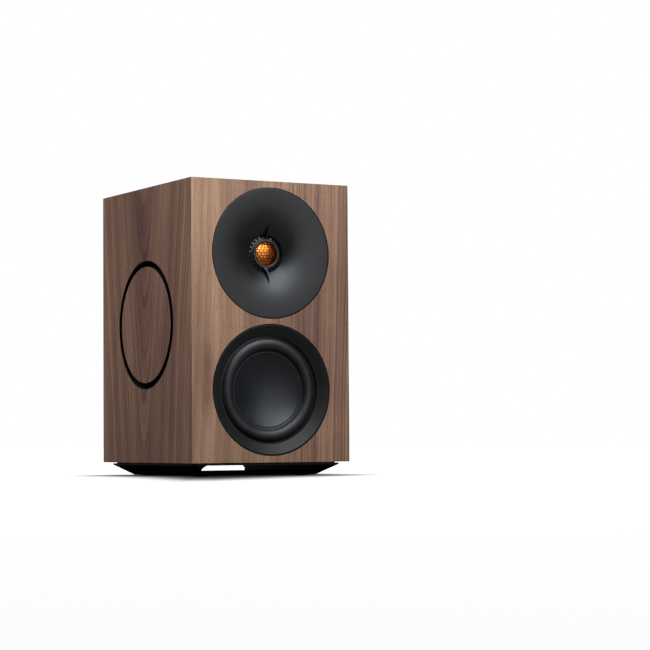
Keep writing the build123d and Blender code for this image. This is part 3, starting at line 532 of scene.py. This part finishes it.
def lathe(name, outline, node, material, centre, inward=INWARD, across=RIGHT, steps=160,
          smooth_angle=35.0):
    """A turned piece that replaces a CAD node. The outline's depths run inward."""
    mesh = mesh_from(name, lambda bm: spin(bm, outline, centre, inward, across, steps))
    return new_piece(name, mesh, material, node, smooth_angle)


SAME_PLACE = 0.001 * MM
FLAT_ANGLE = math.radians(0.5)
SHARP_ANGLE = math.radians(30)


def refined(node, material, bevel, segments=2):
    """A CAD node's shape with its flat faces merged and its sharp edges softened."""
    bm = bmesh.new()
    bm.from_mesh(frame["nodes"][node].data)
    bmesh.ops.remove_doubles(bm, verts=bm.verts, dist=SAME_PLACE)
    bmesh.ops.dissolve_limit(bm, angle_limit=FLAT_ANGLE, verts=bm.verts, edges=bm.edges)
    mesh = bpy.data.meshes.new(node + "_soft")
    bm.to_mesh(mesh)
    bm.free()
    mesh.shade_smooth()
    working = bpy.data.objects.new(node + "_working", mesh)
    bpy.context.collection.objects.link(working)
    modifier = working.modifiers.new("edges", "BEVEL")
    modifier.width = bevel
    modifier.segments = segments
    modifier.limit_method = "ANGLE"
    modifier.angle_limit = SHARP_ANGLE
    modifier.use_clamp_overlap = True
    shading = working.modifiers.new("shading", "WEIGHTED_NORMAL")
    shading.keep_sharp = True
    graph = bpy.context.evaluated_depsgraph_get()
    final = bpy.data.meshes.new_from_object(working.evaluated_get(graph))
    bpy.data.objects.remove(working)
    return new_piece(node + "_piece", final, material, node, smooth_angle=None)


def paint_faces(piece, material, chosen):
    """Give the chosen faces of a piece a second material."""
    piece.data.materials.append(material)
    second = len(piece.data.materials) - 1
    for face in piece.data.polygons:
        if chosen(face):
            face.material_index = second


def walls_round(axis_centre, axis, radius):
    """Faces round an axis, out to a radius, but not those square to it."""
    def chosen(face):
        arm = face.center - axis_centre
        radial = arm - axis * arm.dot(axis)
        return abs(face.normal.dot(axis)) < 0.6 and radial.length < radius
    return chosen


# ---------------------------------------------------------------- cabinet and plinth
PANEL_BEVEL = 0.28 * MM
RECESS_REACH = HORN_RADIUS + 1.0 * MM
baffle = refined("front_baffle", front_veneer, PANEL_BEVEL)
# the walls of the recesses round both drivers get painted shade: near-black out to the recess
# reach
for driver_centre in (HORN_CENTRE, WOOFER_CENTRE):
    paint_faces(baffle, black_edge_and_shade, walls_round(driver_centre, INWARD, RECESS_REACH))
# the recess walls round the side discs get the same painted shade
for side, sign in (("left", -1), ("right", 1)):
    side_piece = refined(f"{side}_side_panel", side_veneer, PANEL_BEVEL)
    face_centre = Vector((sign * HALF_WIDTH, 0, DISC_CENTRE_Z))
    paint_faces(side_piece, black_edge_and_shade, walls_round(face_centre, RIGHT, RECESS_REACH))
for panel, veneer in (("top_panel", top_veneer), ("bottom_panel", top_veneer),
                      ("rear_panel", rear_veneer)):
    refined(panel, veneer, PANEL_BEVEL)
refined("base_plinth", plinth_black, 0.35 * MM, 3)


# ---------------------------------------------------------------- side discs
for side, sign in (("left", -1), ("right", 1)):
    face_centre = Vector((sign * HALF_WIDTH, 0, DISC_CENTRE_Z))
    disc = rounded([(0, 0), (DISC_RADIUS, 0), (DISC_RADIUS, DISC_THICKNESS),
                    (0, DISC_THICKNESS)], 0.35 * MM)
    disc_piece = lathe(f"{side}_side_disc_piece", disc, f"{side}_side_disc", side_veneer,
                       face_centre, inward=Vector((-sign, 0, 0)), across=INWARD)
    # the disc's edge and the slot carrier behind it are near-black: black edge paint and painted
    # shade in the slot
    paint_faces(disc_piece, black_edge_and_shade,
                walls_round(face_centre, RIGHT, DISC_RADIUS + 1.0 * MM))
    refined(f"{side}_slot_carrier", black_edge_and_shade, 0.15 * MM)


# ---------------------------------------------------------------- tweeter
def horn_depth(radius):
    """Depth of the horn wall: an exponential flare from the throat to a flush rim."""
    fall = math.exp(-(HORN_RADIUS - THROAT_RADIUS) / FLARE_LENGTH)
    scale = THROAT_DEPTH / (1 - fall)
    return scale * (math.exp(-(radius - THROAT_RADIUS) / FLARE_LENGTH) - fall)


RIM_ROUND = 0.45 * MM
FLARE_STEPS = 56
FLARE_CROWDING = 1.4
FLANGE_THICKNESS = 6.0 * MM
GAP_FLOOR = 5.0 * MM
BOSS_RADIUS = 42.0 * MM
BOSS_BACK = 16.0 * MM


def horn_outline():
    """Flare, softened rim, flange and boss, with a shadow gap round the rim."""
    rim_radius = HORN_RADIUS - RIM_GAP
    wall = []
    for step in range(FLARE_STEPS + 1):
        share = (step / FLARE_STEPS) ** FLARE_CROWDING
        radius = THROAT_RADIUS + share * (rim_radius - RIM_ROUND - THROAT_RADIUS)
        wall.append((radius, horn_depth(radius)))
    rim = [(rim_radius - RIM_ROUND * (1 - math.sin(angle)), RIM_ROUND * (1 - math.cos(angle)))
           for angle in (0.5, 0.9, 1.3, 1.57)]
    return wall + rim + [
        (rim_radius, GAP_FLOOR), (HORN_RADIUS, GAP_FLOOR + 0.2 * MM),
        (HORN_RADIUS, FLANGE_THICKNESS), (BOSS_RADIUS, FLANGE_THICKNESS),
        (BOSS_RADIUS, BOSS_BACK), (THROAT_RADIUS, BOSS_BACK)]


lathe("waveguide_piece", horn_outline(), "tweeter_waveguide", horn_black, HORN_CENTRE,
      steps=224)


FIN_START = RING_INNER + 1.0 * MM
FIN_STATIONS = 36
FIN_EDGE_HALF = 0.15 * MM
FIN_TAPER_HALF = 0.9 * MM
FIN_ROOT_HALF = 2.6 * MM
FIN_ROOT_LENGTH = 1.1 * MM
FIN_TIP_LIFT = 0.1 * MM
FIN_SINK = 0.25 * MM
FIN_SOFTNESS = 0.5 * MM


def fin_section(radius):
    """Outline across a fin at one radius: (sideways, depth) points round it."""
    share = (radius - FIN_START) / (FIN_TIP - FIN_START)
    beyond_ring = max(0.0, radius - RING_OUTER)
    half = (FIN_EDGE_HALF + FIN_TAPER_HALF * (1 - share ** 1.2)
            + FIN_ROOT_HALF * math.exp(-beyond_ring / FIN_ROOT_LENGTH))
    left_over = min(1.0, (FIN_TIP - radius) / (FIN_TIP - RING_OUTER))
    tip_depth = horn_depth(FIN_TIP)
    front = tip_depth + FIN_TIP_LIFT + (RING_FRONT - tip_depth) * left_over ** 2.8
    back = max(RING_BACK - 0.2 * MM if radius < THROAT_RADIUS else 0.0,
               horn_depth(max(radius, THROAT_RADIUS)) + FIN_SINK)
    soft = min(FIN_SOFTNESS, 0.45 * (back - front))
    right_half = ((0.45, front + 0.06 * soft), (0.82, front + 0.35 * soft),
                  (1.0, front + soft), (1.0, back))
    left_half = tuple((-across, depth) for across, depth in reversed(right_half))
    return [(half * across, depth) for across, depth in (*left_half, (0.0, front), *right_half)]


def phase_ring(bm):
    """Rounded ring with a tapering fin above and below that follows the horn wall."""
    ring = rounded([(RING_INNER, RING_FRONT), (RING_OUTER, RING_FRONT),
                    (RING_OUTER, RING_BACK), (RING_INNER, RING_BACK)], 0.8 * MM, 6)
    spin(bm, ring, HORN_CENTRE, steps=128)
    for direction in (-1, 1):
        rings = []
        for station in range(FIN_STATIONS + 1):
            radius = FIN_START + station / FIN_STATIONS * (FIN_TIP - FIN_START)
            rings.append([bm.verts.new(HORN_CENTRE + Vector((across, depth, direction * radius)))
                          for across, depth in fin_section(radius)])
        join_rings(bm, rings)


new_piece("phase_ring_piece", mesh_from("phase_ring_piece", phase_ring), horn_black,
          "phase_ring", 40.0)


def hex_sheet(bm, depth_at, pitch, hole, reach, clip, thickness):
    """Perforated sheet of hexagonal cells whose centres lie within reach.

    Each cell's outline is a hexagon and its hole a rounded one. The sheet ends at clip.
    """
    corners = 12
    rows = int(reach / pitch) + 2
    cell_corner = pitch / math.sqrt(3)
    known = {}

    def corner(x, z, back):
        radius = math.hypot(x, z)
        if radius > clip:
            x, z, radius = x * clip / radius, z * clip / radius, clip
        key = (round(x * 1e6), round(z * 1e6), back)
        if key not in known:
            depth = depth_at(radius) + (thickness if back else 0.0)
            known[key] = bm.verts.new(HORN_CENTRE + Vector((x, depth, z)))
        return known[key]

    def spoke(x, z, step):
        """Outer and inner point of a cell's corner, or of the middle of its side."""
        angle = math.pi / 6 + 2 * math.pi * step / corners
        at_corner = step % 2 == 0
        outer = cell_corner if at_corner else cell_corner * math.cos(math.pi / 6)
        inner = hole * 1.07 if at_corner else hole
        return [(x + radius * math.cos(angle), z + radius * math.sin(angle))
                for radius in (outer, inner)]

    for row in range(-rows, rows + 1):
        for column in range(-rows, rows + 1):
            x = pitch * (column + 0.5 * (row % 2))
            z = pitch * row * math.sqrt(3) / 2
            if math.hypot(x, z) > reach:
                continue
            for side in range(corners):
                outer_a, inner_a = spoke(x, z, side)
                outer_b, inner_b = spoke(x, z, side + 1)
                for back in (False, True):
                    loop = [corner(*outer_a, back), corner(*outer_b, back),
                            corner(*inner_b, back), corner(*inner_a, back)]
                    loop = list(dict.fromkeys(loop))
                    if len(loop) > 2:
                        bm.faces.new(loop)
                bm.faces.new((corner(*inner_a, False), corner(*inner_b, False),
                              corner(*inner_b, True), corner(*inner_a, True)))


def cap_depth(radius, rim, apex, rim_depth):
    """Depth of a spherical cap that bulges forward to apex."""
    rise = rim_depth - apex
    sphere = (rim ** 2 + rise ** 2) / (2 * rise)
    return apex + sphere - math.sqrt(sphere ** 2 - min(radius, rim) ** 2)


GUARD_PITCH = 3.6 * MM
GUARD_HOLE = 1.5 * MM
GUARD_REACH = 12.6 * MM
GUARD_THICKNESS = 0.5 * MM
new_piece("dome_guard_piece", mesh_from("dome_guard_piece", lambda bm: hex_sheet(
    bm, lambda radius: cap_depth(radius, GUARD_RIM, GUARD_APEX, MESH_DEPTH), GUARD_PITCH,
    GUARD_HOLE, GUARD_REACH, GUARD_RIM, GUARD_THICKNESS)), orange_metal, "dome_guard")

# the perforated ring falls back towards its outer edge
THROAT_MESH_SLOPE = 0.3
THROAT_MESH_SET_BACK = 1.0 * MM
throat_ring = refined("throat_mesh", mesh_black, 0.12 * MM)
for vertex in throat_ring.data.vertices:
    arm = vertex.co - HORN_CENTRE
    radius = math.hypot(arm.x, arm.z)
    vertex.co.y += THROAT_MESH_SLOPE * (radius - THROAT_RADIUS) + THROAT_MESH_SET_BACK

DOME_STEPS = 20
DOME_THICKNESS = 0.4 * MM
dome_radii = [DOME_RIM * step / DOME_STEPS for step in range(DOME_STEPS + 1)]
dome_front = [(radius, cap_depth(radius, DOME_RIM, DOME_APEX, DOME_RIM_DEPTH))
              for radius in dome_radii]
dome_back = [(radius, depth + DOME_THICKNESS) for radius, depth in reversed(dome_front)]
lathe("tweeter_dome_piece", dome_front + dome_back, "tweeter_dome", dome_gold, HORN_CENTRE,
      steps=96)


# ---------------------------------------------------------------- woofer
TRIM_DEPTH = 9.0 * MM
TRIM_WALL = 1.2 * MM
TRIM_LAND = 0.9 * MM
TRIM_INNER = 54.8 * MM
TRIM_INNER_FRONT = 6.0 * MM
TRIM_INNER_BACK = 7.6 * MM
PAINTED_SHADE_REACH = 55.4 * MM
trim_edge = TRIM_RADIUS - RIM_GAP
trim_outline = rounded([
    (trim_edge, 0), (trim_edge, 7.8 * MM), (TRIM_RADIUS, 8.0 * MM), (TRIM_RADIUS, TRIM_DEPTH),
    (TRIM_RADIUS - TRIM_WALL, TRIM_DEPTH), (TRIM_RADIUS - TRIM_WALL, 2.6 * MM),
    (TRIM_INNER, TRIM_INNER_BACK), (TRIM_INNER, TRIM_INNER_FRONT),
    (trim_edge - 1.5 * MM, 0.35 * MM), (trim_edge - TRIM_LAND, 0)], 0.35 * MM)
trim_piece = lathe("trim_ring_piece", trim_outline, "woofer_trim_ring", trim_black,
                   WOOFER_CENTRE, steps=224)
# the trim's inner edge, inward of that reach, gets painted shade in near-black
paint_faces(trim_piece, black_edge_and_shade, lambda face: math.hypot(
    face.center.x - WOOFER_CENTRE.x, face.center.z - WOOFER_CENTRE.z) < PAINTED_SHADE_REACH)

DISH_RADIUS = 38.0 * MM
DISH_EDGE = 10.0 * MM
DISH_CENTRE = 19.0 * MM
CONE_RADIUS = 41.2 * MM
CONE_THICKNESS = 1.0 * MM
NECK_OUTER = 16.2 * MM
NECK_INNER = 15.0 * MM
NECK_END = 24.0 * MM


def dish_depth(radius):
    """Depth of the concave dish."""
    rise = DISH_CENTRE - DISH_EDGE
    sphere = (DISH_RADIUS ** 2 + rise ** 2) / (2 * rise)
    return DISH_CENTRE - sphere + math.sqrt(sphere ** 2 - radius ** 2)


def cone_outline():
    """Dish, hairline groove, flat ledge, then the back with its neck."""
    steps = 36
    groove = 0.3 * MM
    dish = [(DISH_RADIUS * step / steps, dish_depth(DISH_RADIUS * step / steps))
            for step in range(steps)]
    edge = [
        (DISH_RADIUS - groove, DISH_EDGE), (DISH_RADIUS - 0.5 * groove, DISH_EDGE + 0.25 * MM),
        (DISH_RADIUS + 0.5 * groove, DISH_EDGE + 0.25 * MM), (DISH_RADIUS + groove, DISH_EDGE),
        (CONE_RADIUS - 0.4 * MM, DISH_EDGE), (CONE_RADIUS, DISH_EDGE + 0.3 * MM),
        (CONE_RADIUS, DISH_EDGE + CONE_THICKNESS), (DISH_RADIUS, DISH_EDGE + CONE_THICKNESS),
    ]
    back = [(radius, dish_depth(radius) + CONE_THICKNESS)
            for radius in (32 * MM, 26 * MM, 20 * MM, NECK_OUTER)]
    neck = [(NECK_OUTER, NECK_END), (NECK_INNER, NECK_END),
            (NECK_INNER, dish_depth(NECK_INNER) + CONE_THICKNESS)]
    centre = [(8 * MM, dish_depth(8 * MM) + CONE_THICKNESS), (0, DISH_CENTRE + CONE_THICKNESS)]
    return dish + edge + back + neck + centre


lathe("woofer_cone_piece", cone_outline(), "woofer_cone", cone_black, WOOFER_CENTRE, steps=192)


def roll(first, crest, last, steps=22):
    """Points of the circular arc through three (radius, depth) points."""
    ax, ay = first
    bx, by = crest
    cx, cy = last
    scale = 2 * (ax * (by - cy) + bx * (cy - ay) + cx * (ay - by))
    a2, b2, c2 = ax * ax + ay * ay, bx * bx + by * by, cx * cx + cy * cy
    ox = (a2 * (by - cy) + b2 * (cy - ay) + c2 * (ay - by)) / scale
    oy = (a2 * (cx - bx) + b2 * (ax - cx) + c2 * (bx - ax)) / scale
    radius = math.hypot(ax - ox, ay - oy)
    start = math.atan2(ay - oy, ax - ox)
    middle = math.atan2(by - oy, bx - ox)
    end = math.atan2(cy - oy, cx - ox)
    turn = 2 * math.pi
    sweep = (end - start) % turn
    if (middle - start) % turn > sweep:
        sweep -= turn
    return [(ox + radius * math.cos(start + sweep * step / steps),
             oy + radius * math.sin(start + sweep * step / steps))
            for step in range(steps + 1)]


def in_mm(points):
    return [(radius * MM, depth * MM) for radius, depth in points]


def stretch(piece):
    """Take the piece off its body and out of the rig, leaving its mesh where it stands."""
    piece.parent = None
    piece.matrix_world = Matrix.Identity(4)
    del piece["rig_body"]
    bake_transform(piece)


surround_front = in_mm([(38.9, 9.97), (39.0, 9.75), (39.4, 9.6)]
                       + roll((39.9, 9.5), (47.0, 4.7), (53.0, 8.2), 30)
                       + [(53.4, 8.3), (57.5, 8.3)])
surround_back = in_mm([(57.5, 8.9), (52.4, 8.9)] + roll((52.3, 8.7), (47.0, 5.5), (41.6, 9.9), 30)
                      + [(41.2, 9.97)])
surround = lathe("woofer_surround_piece", surround_front + surround_back, "woofer_surround",
                 rubber_black, WOOFER_CENTRE, steps=192, smooth_angle=60)
stretch(surround)


def spider_outline():
    """Corrugated disc: five waves between the voice coil and the basket."""
    inner, outer, middle_depth, wave, thickness = 16.4, 44.4, 26.45, 0.55, 0.7
    steps = 100
    front = []
    for step in range(steps + 1):
        share = step / steps
        depth = middle_depth + wave * math.cos(10 * math.pi * share)
        front.append((inner + (outer - inner) * share, depth))
    return in_mm(front + [(radius, depth + thickness) for radius, depth in reversed(front)])


spider = lathe("woofer_spider_piece", spider_outline(), "woofer_spider", cloth, WOOFER_CENTRE,
               steps=96, smooth_angle=60)
stretch(spider)

suspension_roll = in_mm(
    [(14.3, 15.6)] + roll((14.7, 15.6), (16.1, 14.6), (17.6, 16.0), 10) + [(24.0, 16.0)]
    + [(24.0, 16.4)] + roll((17.3, 16.4), (16.1, 15.1), (15.0, 16.1), 10) + [(14.3, 16.1)])
suspension = lathe("tweeter_suspension_piece", suspension_roll, "tweeter_suspension",
                   black_cloth, HORN_CENTRE, steps=96, smooth_angle=60)
stretch(suspension)

for side, sign in (("left", -1), ("right", 1)):
    face_centre = Vector((sign * HALF_WIDTH, 0, DISC_CENTRE_Z))
    front = in_mm([(43.0, 17.8), (46.7, 17.8)] + roll((47.0, 18.0), (51.6, 22.4), (56.2, 17.3))
                  + [(56.5, 17.1), (62.0, 17.1)])
    back = in_mm([(62.0, 17.8), (57.0, 17.8)] + roll((56.9, 18.0), (51.6, 23.2), (46.3, 18.6))
                 + [(46.1, 18.4), (43.0, 18.4)])
    inward = Vector((-sign, 0, 0))
    radiator_roll = lathe(f"{side}_radiator_surround_piece", front + back,
                          f"{side}_radiator_surround", rubber_black, face_centre,
                          inward=inward, across=INWARD, steps=96, smooth_angle=60)
    stretch(radiator_roll)


# ---------------------------------------------------------------- rear panel
refined("amp_plate", panel_black, 0.25 * MM)
refined("heatsink", panel_black, 0.2 * MM)
refined("switch_housing", satin_black, 0.2 * MM)
refined("power_rocker", gloss_black, 0.35 * MM, 3)
refined("pairing_button", gloss_black, 0.2 * MM)
refined("rubber_feet", rubber_black, 0.2 * MM)

REAR_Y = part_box("rear_panel")[1].y
INTO_REAR = Vector((0, -1, 0))

# mains inlet: black housing with plated pins
PIN_HALF_WIDTH = 1.3 * MM
PIN_HALF_HEIGHT = 2.3 * MM
PIN_TIP_Y = REAR_Y - 5.9 * MM
PIN_ROOT_Y = REAR_Y - 23.1 * MM
inlet = refined("mains_inlet", satin_black, 0.2 * MM)
inlet_centre = centre_of("mains_inlet")
pin_places = [(inlet_centre.x + across, inlet_centre.z + up)
              for across, up in in_mm([(7.0, -2.0), (0.0, 2.0), (-7.0, -2.0)])]


def on_a_pin(face):
    place = face.center
    return PIN_ROOT_Y < place.y < PIN_TIP_Y and any(
        abs(place.x - x) < PIN_HALF_WIDTH and abs(place.z - z) < PIN_HALF_HEIGHT
        for x, z in pin_places)


paint_faces(inlet, steel, on_a_pin)

# phono sockets: a plated shell with a collar, a coloured insulator and a contact sleeve
PHONO_PLACES = ((30.0, 59.0, "white"), (48.0, 59.0, "red"), (48.0, 77.0, "black"))
phono_shell = rounded(in_mm([
    (3.3, 20.0), (3.3, 0.6), (4.1, 0.6), (4.1, 4.2), (5.6, 4.2), (5.6, 5.2), (4.1, 5.2),
    (4.1, 8.0), (5.6, 8.0), (5.6, 10.5), (4.1, 10.5), (4.1, 20.0)]), 0.2 * MM, 3)
phono_insulator = rounded(in_mm([(1.9, 1.3), (3.3, 1.3), (3.3, 14.0), (1.9, 14.0)]), 0.15 * MM, 3)
phono_contact = in_mm([(1.5, 1.7), (1.9, 1.7), (1.9, 14.0), (1.5, 14.0)])
insulator_colours = {
    "white": moulded("insulator_white", rgb(214, 212, 204), 0.35, bump=0.04),
    "red": moulded("insulator_red", rgb(166, 26, 24), 0.35, bump=0.04),
    "black": moulded("insulator_black", rgb(24, 24, 25), 0.35, bump=0.04)}
for x, z, colour_name in PHONO_PLACES:
    socket_centre = Vector((x * MM, REAR_Y, z * MM))
    for part, outline, finish in (("shell", phono_shell, steel),
                                  ("insulator", phono_insulator, insulator_colours[colour_name]),
                                  ("contact", phono_contact, steel)):
        lathe(f"phono_{colour_name}_{part}", outline, "input_sockets", finish, socket_centre,
              inward=INTO_REAR, across=RIGHT, steps=48)

# link jack: a shielded box with eight sprung contacts
LINK_CENTRE = Vector((48.0 * MM, REAR_Y, 99.0 * MM))
LINK_OUTER = (7.9 * MM, 6.6 * MM)
LINK_INNER = (5.9 * MM, 4.1 * MM)
LINK_FRONT = 4.2 * MM
LINK_FLOOR = 20.4 * MM
LINK_BACK = 22.2 * MM
CONTACT_COUNT = 8


def rounded_rectangle(half_width, half_height, radius, steps=4):
    points = []
    for index, (x_side, z_side) in enumerate(((1, 1), (-1, 1), (-1, -1), (1, -1))):
        for step in range(steps + 1):
            angle = math.pi / 2 * (index + step / steps)
            points.append((x_side * (half_width - radius) + radius * math.cos(angle),
                           z_side * (half_height - radius) + radius * math.sin(angle)))
    return points


def link_shell(bm):
    """Rounded box with a lipped mouth, a cavity and a closed back."""
    soft = 0.3 * MM
    layers = [
        (LINK_OUTER, 0.0, LINK_BACK), (LINK_OUTER, 0.0, LINK_FRONT + soft),
        (LINK_OUTER, soft, LINK_FRONT), (LINK_INNER, -soft, LINK_FRONT),
        (LINK_INNER, 0.0, LINK_FRONT + soft), (LINK_INNER, 0.0, LINK_FLOOR)]
    rings = []
    for (half_width, half_height), shrink, depth in layers:
        outline = rounded_rectangle(half_width - shrink, half_height - shrink, 0.8 * MM)
        rings.append([bm.verts.new(LINK_CENTRE + Vector((x, -depth, z))) for x, z in outline])
    join_rings(bm, rings)


def link_contacts(bm):
    """Flat springs that lean down into the cavity."""
    spacing = 1.02 * MM
    half_width = 0.22 * MM
    half_thickness = 0.12 * MM
    path = in_mm([(6.5, 3.9), (8.0, 3.0), (16.0, 1.2), (18.0, 1.4)])
    for index in range(CONTACT_COUNT):
        x = (index - (CONTACT_COUNT - 1) / 2) * spacing
        join_rings(bm, [
            [bm.verts.new(LINK_CENTRE + Vector((x + side * half_width, -depth,
                                                up + lift * half_thickness)))
             for side, lift in ((-1, -1), (1, -1), (1, 1), (-1, 1))]
            for depth, up in path])


new_piece("link_jack_shell", mesh_from("link_jack_shell", link_shell), steel, "input_sockets")
gold = metal("gold", rgb(222, 180, 96), 0.25)
new_piece("link_jack_contacts", mesh_from("link_jack_contacts", link_contacts), gold,
          "input_sockets")


# ---------------------------------------------------------------- loose fill inside
PAD_CUTS = 23
PAD_SQUARENESS = 5.0
PAD_SIZE_SHARE = 0.92


def fill_pad(bm):
    """Polyester pad with crowned faces, rounded corners and a lumpy skin."""
    low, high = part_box("acoustic_wadding")
    middle_point = (low + high) / 2
    half = (high - low) / 2
    bmesh.ops.create_cube(bm, size=2.0)
    bmesh.ops.subdivide_edges(bm, edges=bm.edges, cuts=PAD_CUTS, use_grid_fill=True)
    for vertex in bm.verts:
        length = sum(abs(side) ** PAD_SQUARENESS for side in vertex.co) ** (1 / PAD_SQUARENESS)
        place = vertex.co / max(length, 1e-6)
        lump = noise.noise(place * 3.1) * 0.07 + noise.noise(place * 9.0) * 0.02
        place *= PAD_SIZE_SHARE + lump
        vertex.co = middle_point + Vector((place.x * half.x, place.y * half.y,
                                           place.z * half.z))


pad = new_piece("acoustic_wadding_piece", mesh_from("acoustic_wadding_piece", fill_pad),
                wadding, "acoustic_wadding", 80.0)

# every CAD node that still shows gets its slot's material
for node_name, node_object in frame["nodes"].items():
    node_object.data.materials.clear()
    node_object.data.materials.append(slot_material[node_slot[node_name]])


# ---------------------------------------------------------------- stage, light and camera
def white_world():
    """The camera sees plain white; the object is lit by a dimmer, even glow."""
    world = bpy.data.worlds.new("studio")
    bpy.context.scene.world = world
    world.use_nodes = True
    tree = world.node_tree
    tree.nodes.clear()
    output = tree.nodes.new("ShaderNodeOutputWorld")
    seen = tree.nodes.new("ShaderNodeBackground")
    seen.inputs["Color"].default_value = (1, 1, 1, 1)
    seen.inputs["Strength"].default_value = 1.0
    glow = tree.nodes.new("ShaderNodeBackground")
    glow.inputs["Color"].default_value = (0.92, 0.96, 1.0, 1)
    glow.inputs["Strength"].default_value = 0.05
    path = tree.nodes.new("ShaderNodeLightPath")
    mixer = tree.nodes.new("ShaderNodeMixShader")
    tree.links.new(path.outputs["Is Camera Ray"], mixer.inputs[0])
    tree.links.new(glow.outputs[0], mixer.inputs[1])
    tree.links.new(seen.outputs[0], mixer.inputs[2])
    tree.links.new(mixer.outputs[0], output.inputs["Surface"])


FLOOR_HALF_SIZE = 12.0
SHADOW_WAY = (-0.488, -0.873)
SHADOW_START = 0.09
SHADOW_INSET = 0.02
SHADOW_FALL = 10.0
SHADOW_FALL_LENGTHWAYS = 2.5
SHADOW_SHADES = ((0.0, 0.0), (0.27, 0.12), (0.45, 0.38), (0.62, 0.72), (0.82, 0.95), (1.0, 1.0))


def pale_floor():
    """A large pale floor whose far part glows up to the white of the background.

    Its shadow is painted: the plinth's outline, drawn out towards the front left.
    """
    mesh = mesh_from("floor", lambda bm: bmesh.ops.create_grid(
        bm, x_segments=1, y_segments=1, size=FLOOR_HALF_SIZE))
    graph = Graph("floor_white")
    place, axes = graph.object_axes()
    cloud = graph.noise(place, 2.0, 2.0)
    shade = graph.ramp(cloud, [(0.3, (0.14,) * 3), (0.7, (0.15,) * 3)])
    foot_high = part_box("base_plinth")[1]
    along = graph.plus(*(graph.times(axes[i], SHADOW_WAY[i]) for i in (X_AXIS, Y_AXIS)))
    drawn_out = graph.maths("MAXIMUM", graph.minus(along, SHADOW_START), 0.0)
    beyond = []
    for i in (X_AXIS, Y_AXIS):
        moved_back = graph.minus(axes[i], graph.times(drawn_out, SHADOW_WAY[i]))
        outside = graph.minus(graph.maths("ABSOLUTE", moved_back), foot_high[i] - SHADOW_INSET)
        beyond.append(graph.maths("MAXIMUM", outside, 0.0))
    clear_of_foot = graph.length(*beyond)
    reach = graph.plus(graph.times(clear_of_foot, SHADOW_FALL),
                       graph.times(drawn_out, SHADOW_FALL_LENGTHWAYS))
    near = graph.ramp(reach, [(position, (grey,) * 3) for position, grey in SHADOW_SHADES],
                      "B_SPLINE")
    seen = graph.node("ShaderNodeLightPath", result="Is Camera Ray")
    shade = graph.mix(1.0, shade, near, "MULTIPLY")
    lift = graph.times(near, graph.remap(clear_of_foot, 0.3, 1.2, 0.95, 1.15))
    mesh.materials.append(graph.finish(
        Base_Color=shade, Roughness=0.9, Specular_IOR_Level=0.0,
        Emission_Color=(1, 1, 1, 1), Emission_Strength=graph.times(lift, seen)))
    floor = bpy.data.objects.new("floor", mesh)
    bpy.context.collection.objects.link(floor)


def softbox(name, azimuth, elevation, distance, width, height, power, target):
    """Area light at an azimuth from the front (negative is to the left) and elevation."""
    data = bpy.data.lights.new(name, "AREA")
    data.shape = "RECTANGLE"
    data.size = width
    data.size_y = height
    data.energy = power
    light = bpy.data.objects.new(name, data)
    bpy.context.collection.objects.link(light)
    a, e = math.radians(azimuth), math.radians(elevation)
    direction = Vector((math.sin(a) * math.cos(e), -math.cos(a) * math.cos(e), math.sin(e)))
    light.location = target + direction * distance
    light.rotation_euler = direction.to_track_quat("Z", "Y").to_euler()


CAMERA_AZIMUTH = math.radians(-29.23)
CAMERA_TILT = 0.053
CAMERA_ROLL = -0.0072
CAMERA_HEIGHT = 0.0354
CAMERA_DISTANCE = 2.171
CAMERA_ASIDE = 0.1327
CAMERA_LENS = 121.0


def make_camera():
    """Long lens near shelf height, off the front's left, tilted slightly up."""
    forward = Vector((-math.sin(CAMERA_AZIMUTH), math.cos(CAMERA_AZIMUTH), 0))
    sideways = Vector((math.cos(CAMERA_AZIMUTH), math.sin(CAMERA_AZIMUTH), 0))
    front_left_edge = Vector((-HALF_WIDTH, FRONT_Y, 0))
    data = bpy.data.cameras.new("camera")
    data.lens = CAMERA_LENS
    data.sensor_width = 36.0
    data.clip_end = 100.0
    camera = bpy.data.objects.new("camera", data)
    bpy.context.collection.objects.link(camera)
    place = (front_left_edge + sideways * CAMERA_ASIDE - forward * CAMERA_DISTANCE
             + Vector((0, 0, CAMERA_HEIGHT)))
    camera.matrix_world = (Matrix.Translation(place) @ Matrix.Rotation(CAMERA_AZIMUTH, 4, "Z")
                           @ Matrix.Rotation(math.pi / 2 + CAMERA_TILT, 4, "X")
                           @ Matrix.Rotation(CAMERA_ROLL, 4, "Z"))
    bpy.context.scene.camera = camera


bpy.context.scene.view_settings.view_transform = "Standard"
white_world()
pale_floor()
middle = Vector((0, 0, FLOOR_OF_BOX_Z + BOX_HEIGHT / 2))
# name, azimuth, elevation, distance, width, height, power
for light_row in (("key", 10, 43, 0.9, 0.8, 0.72, 9.2),
                  ("front_fill", 12, 6, 2.0, 1.4, 0.7, 4.2),
                  ("left_fill", -86, 44, 1.3, 0.6, 0.6, 5.2),
                  ("rear_right", 125, 47, 1.5, 0.9, 0.9, 22.0),
                  ("rear_left", -140, 47, 1.8, 0.9, 0.9, 14.0)):
    softbox(*light_row, target=middle)
make_camera()
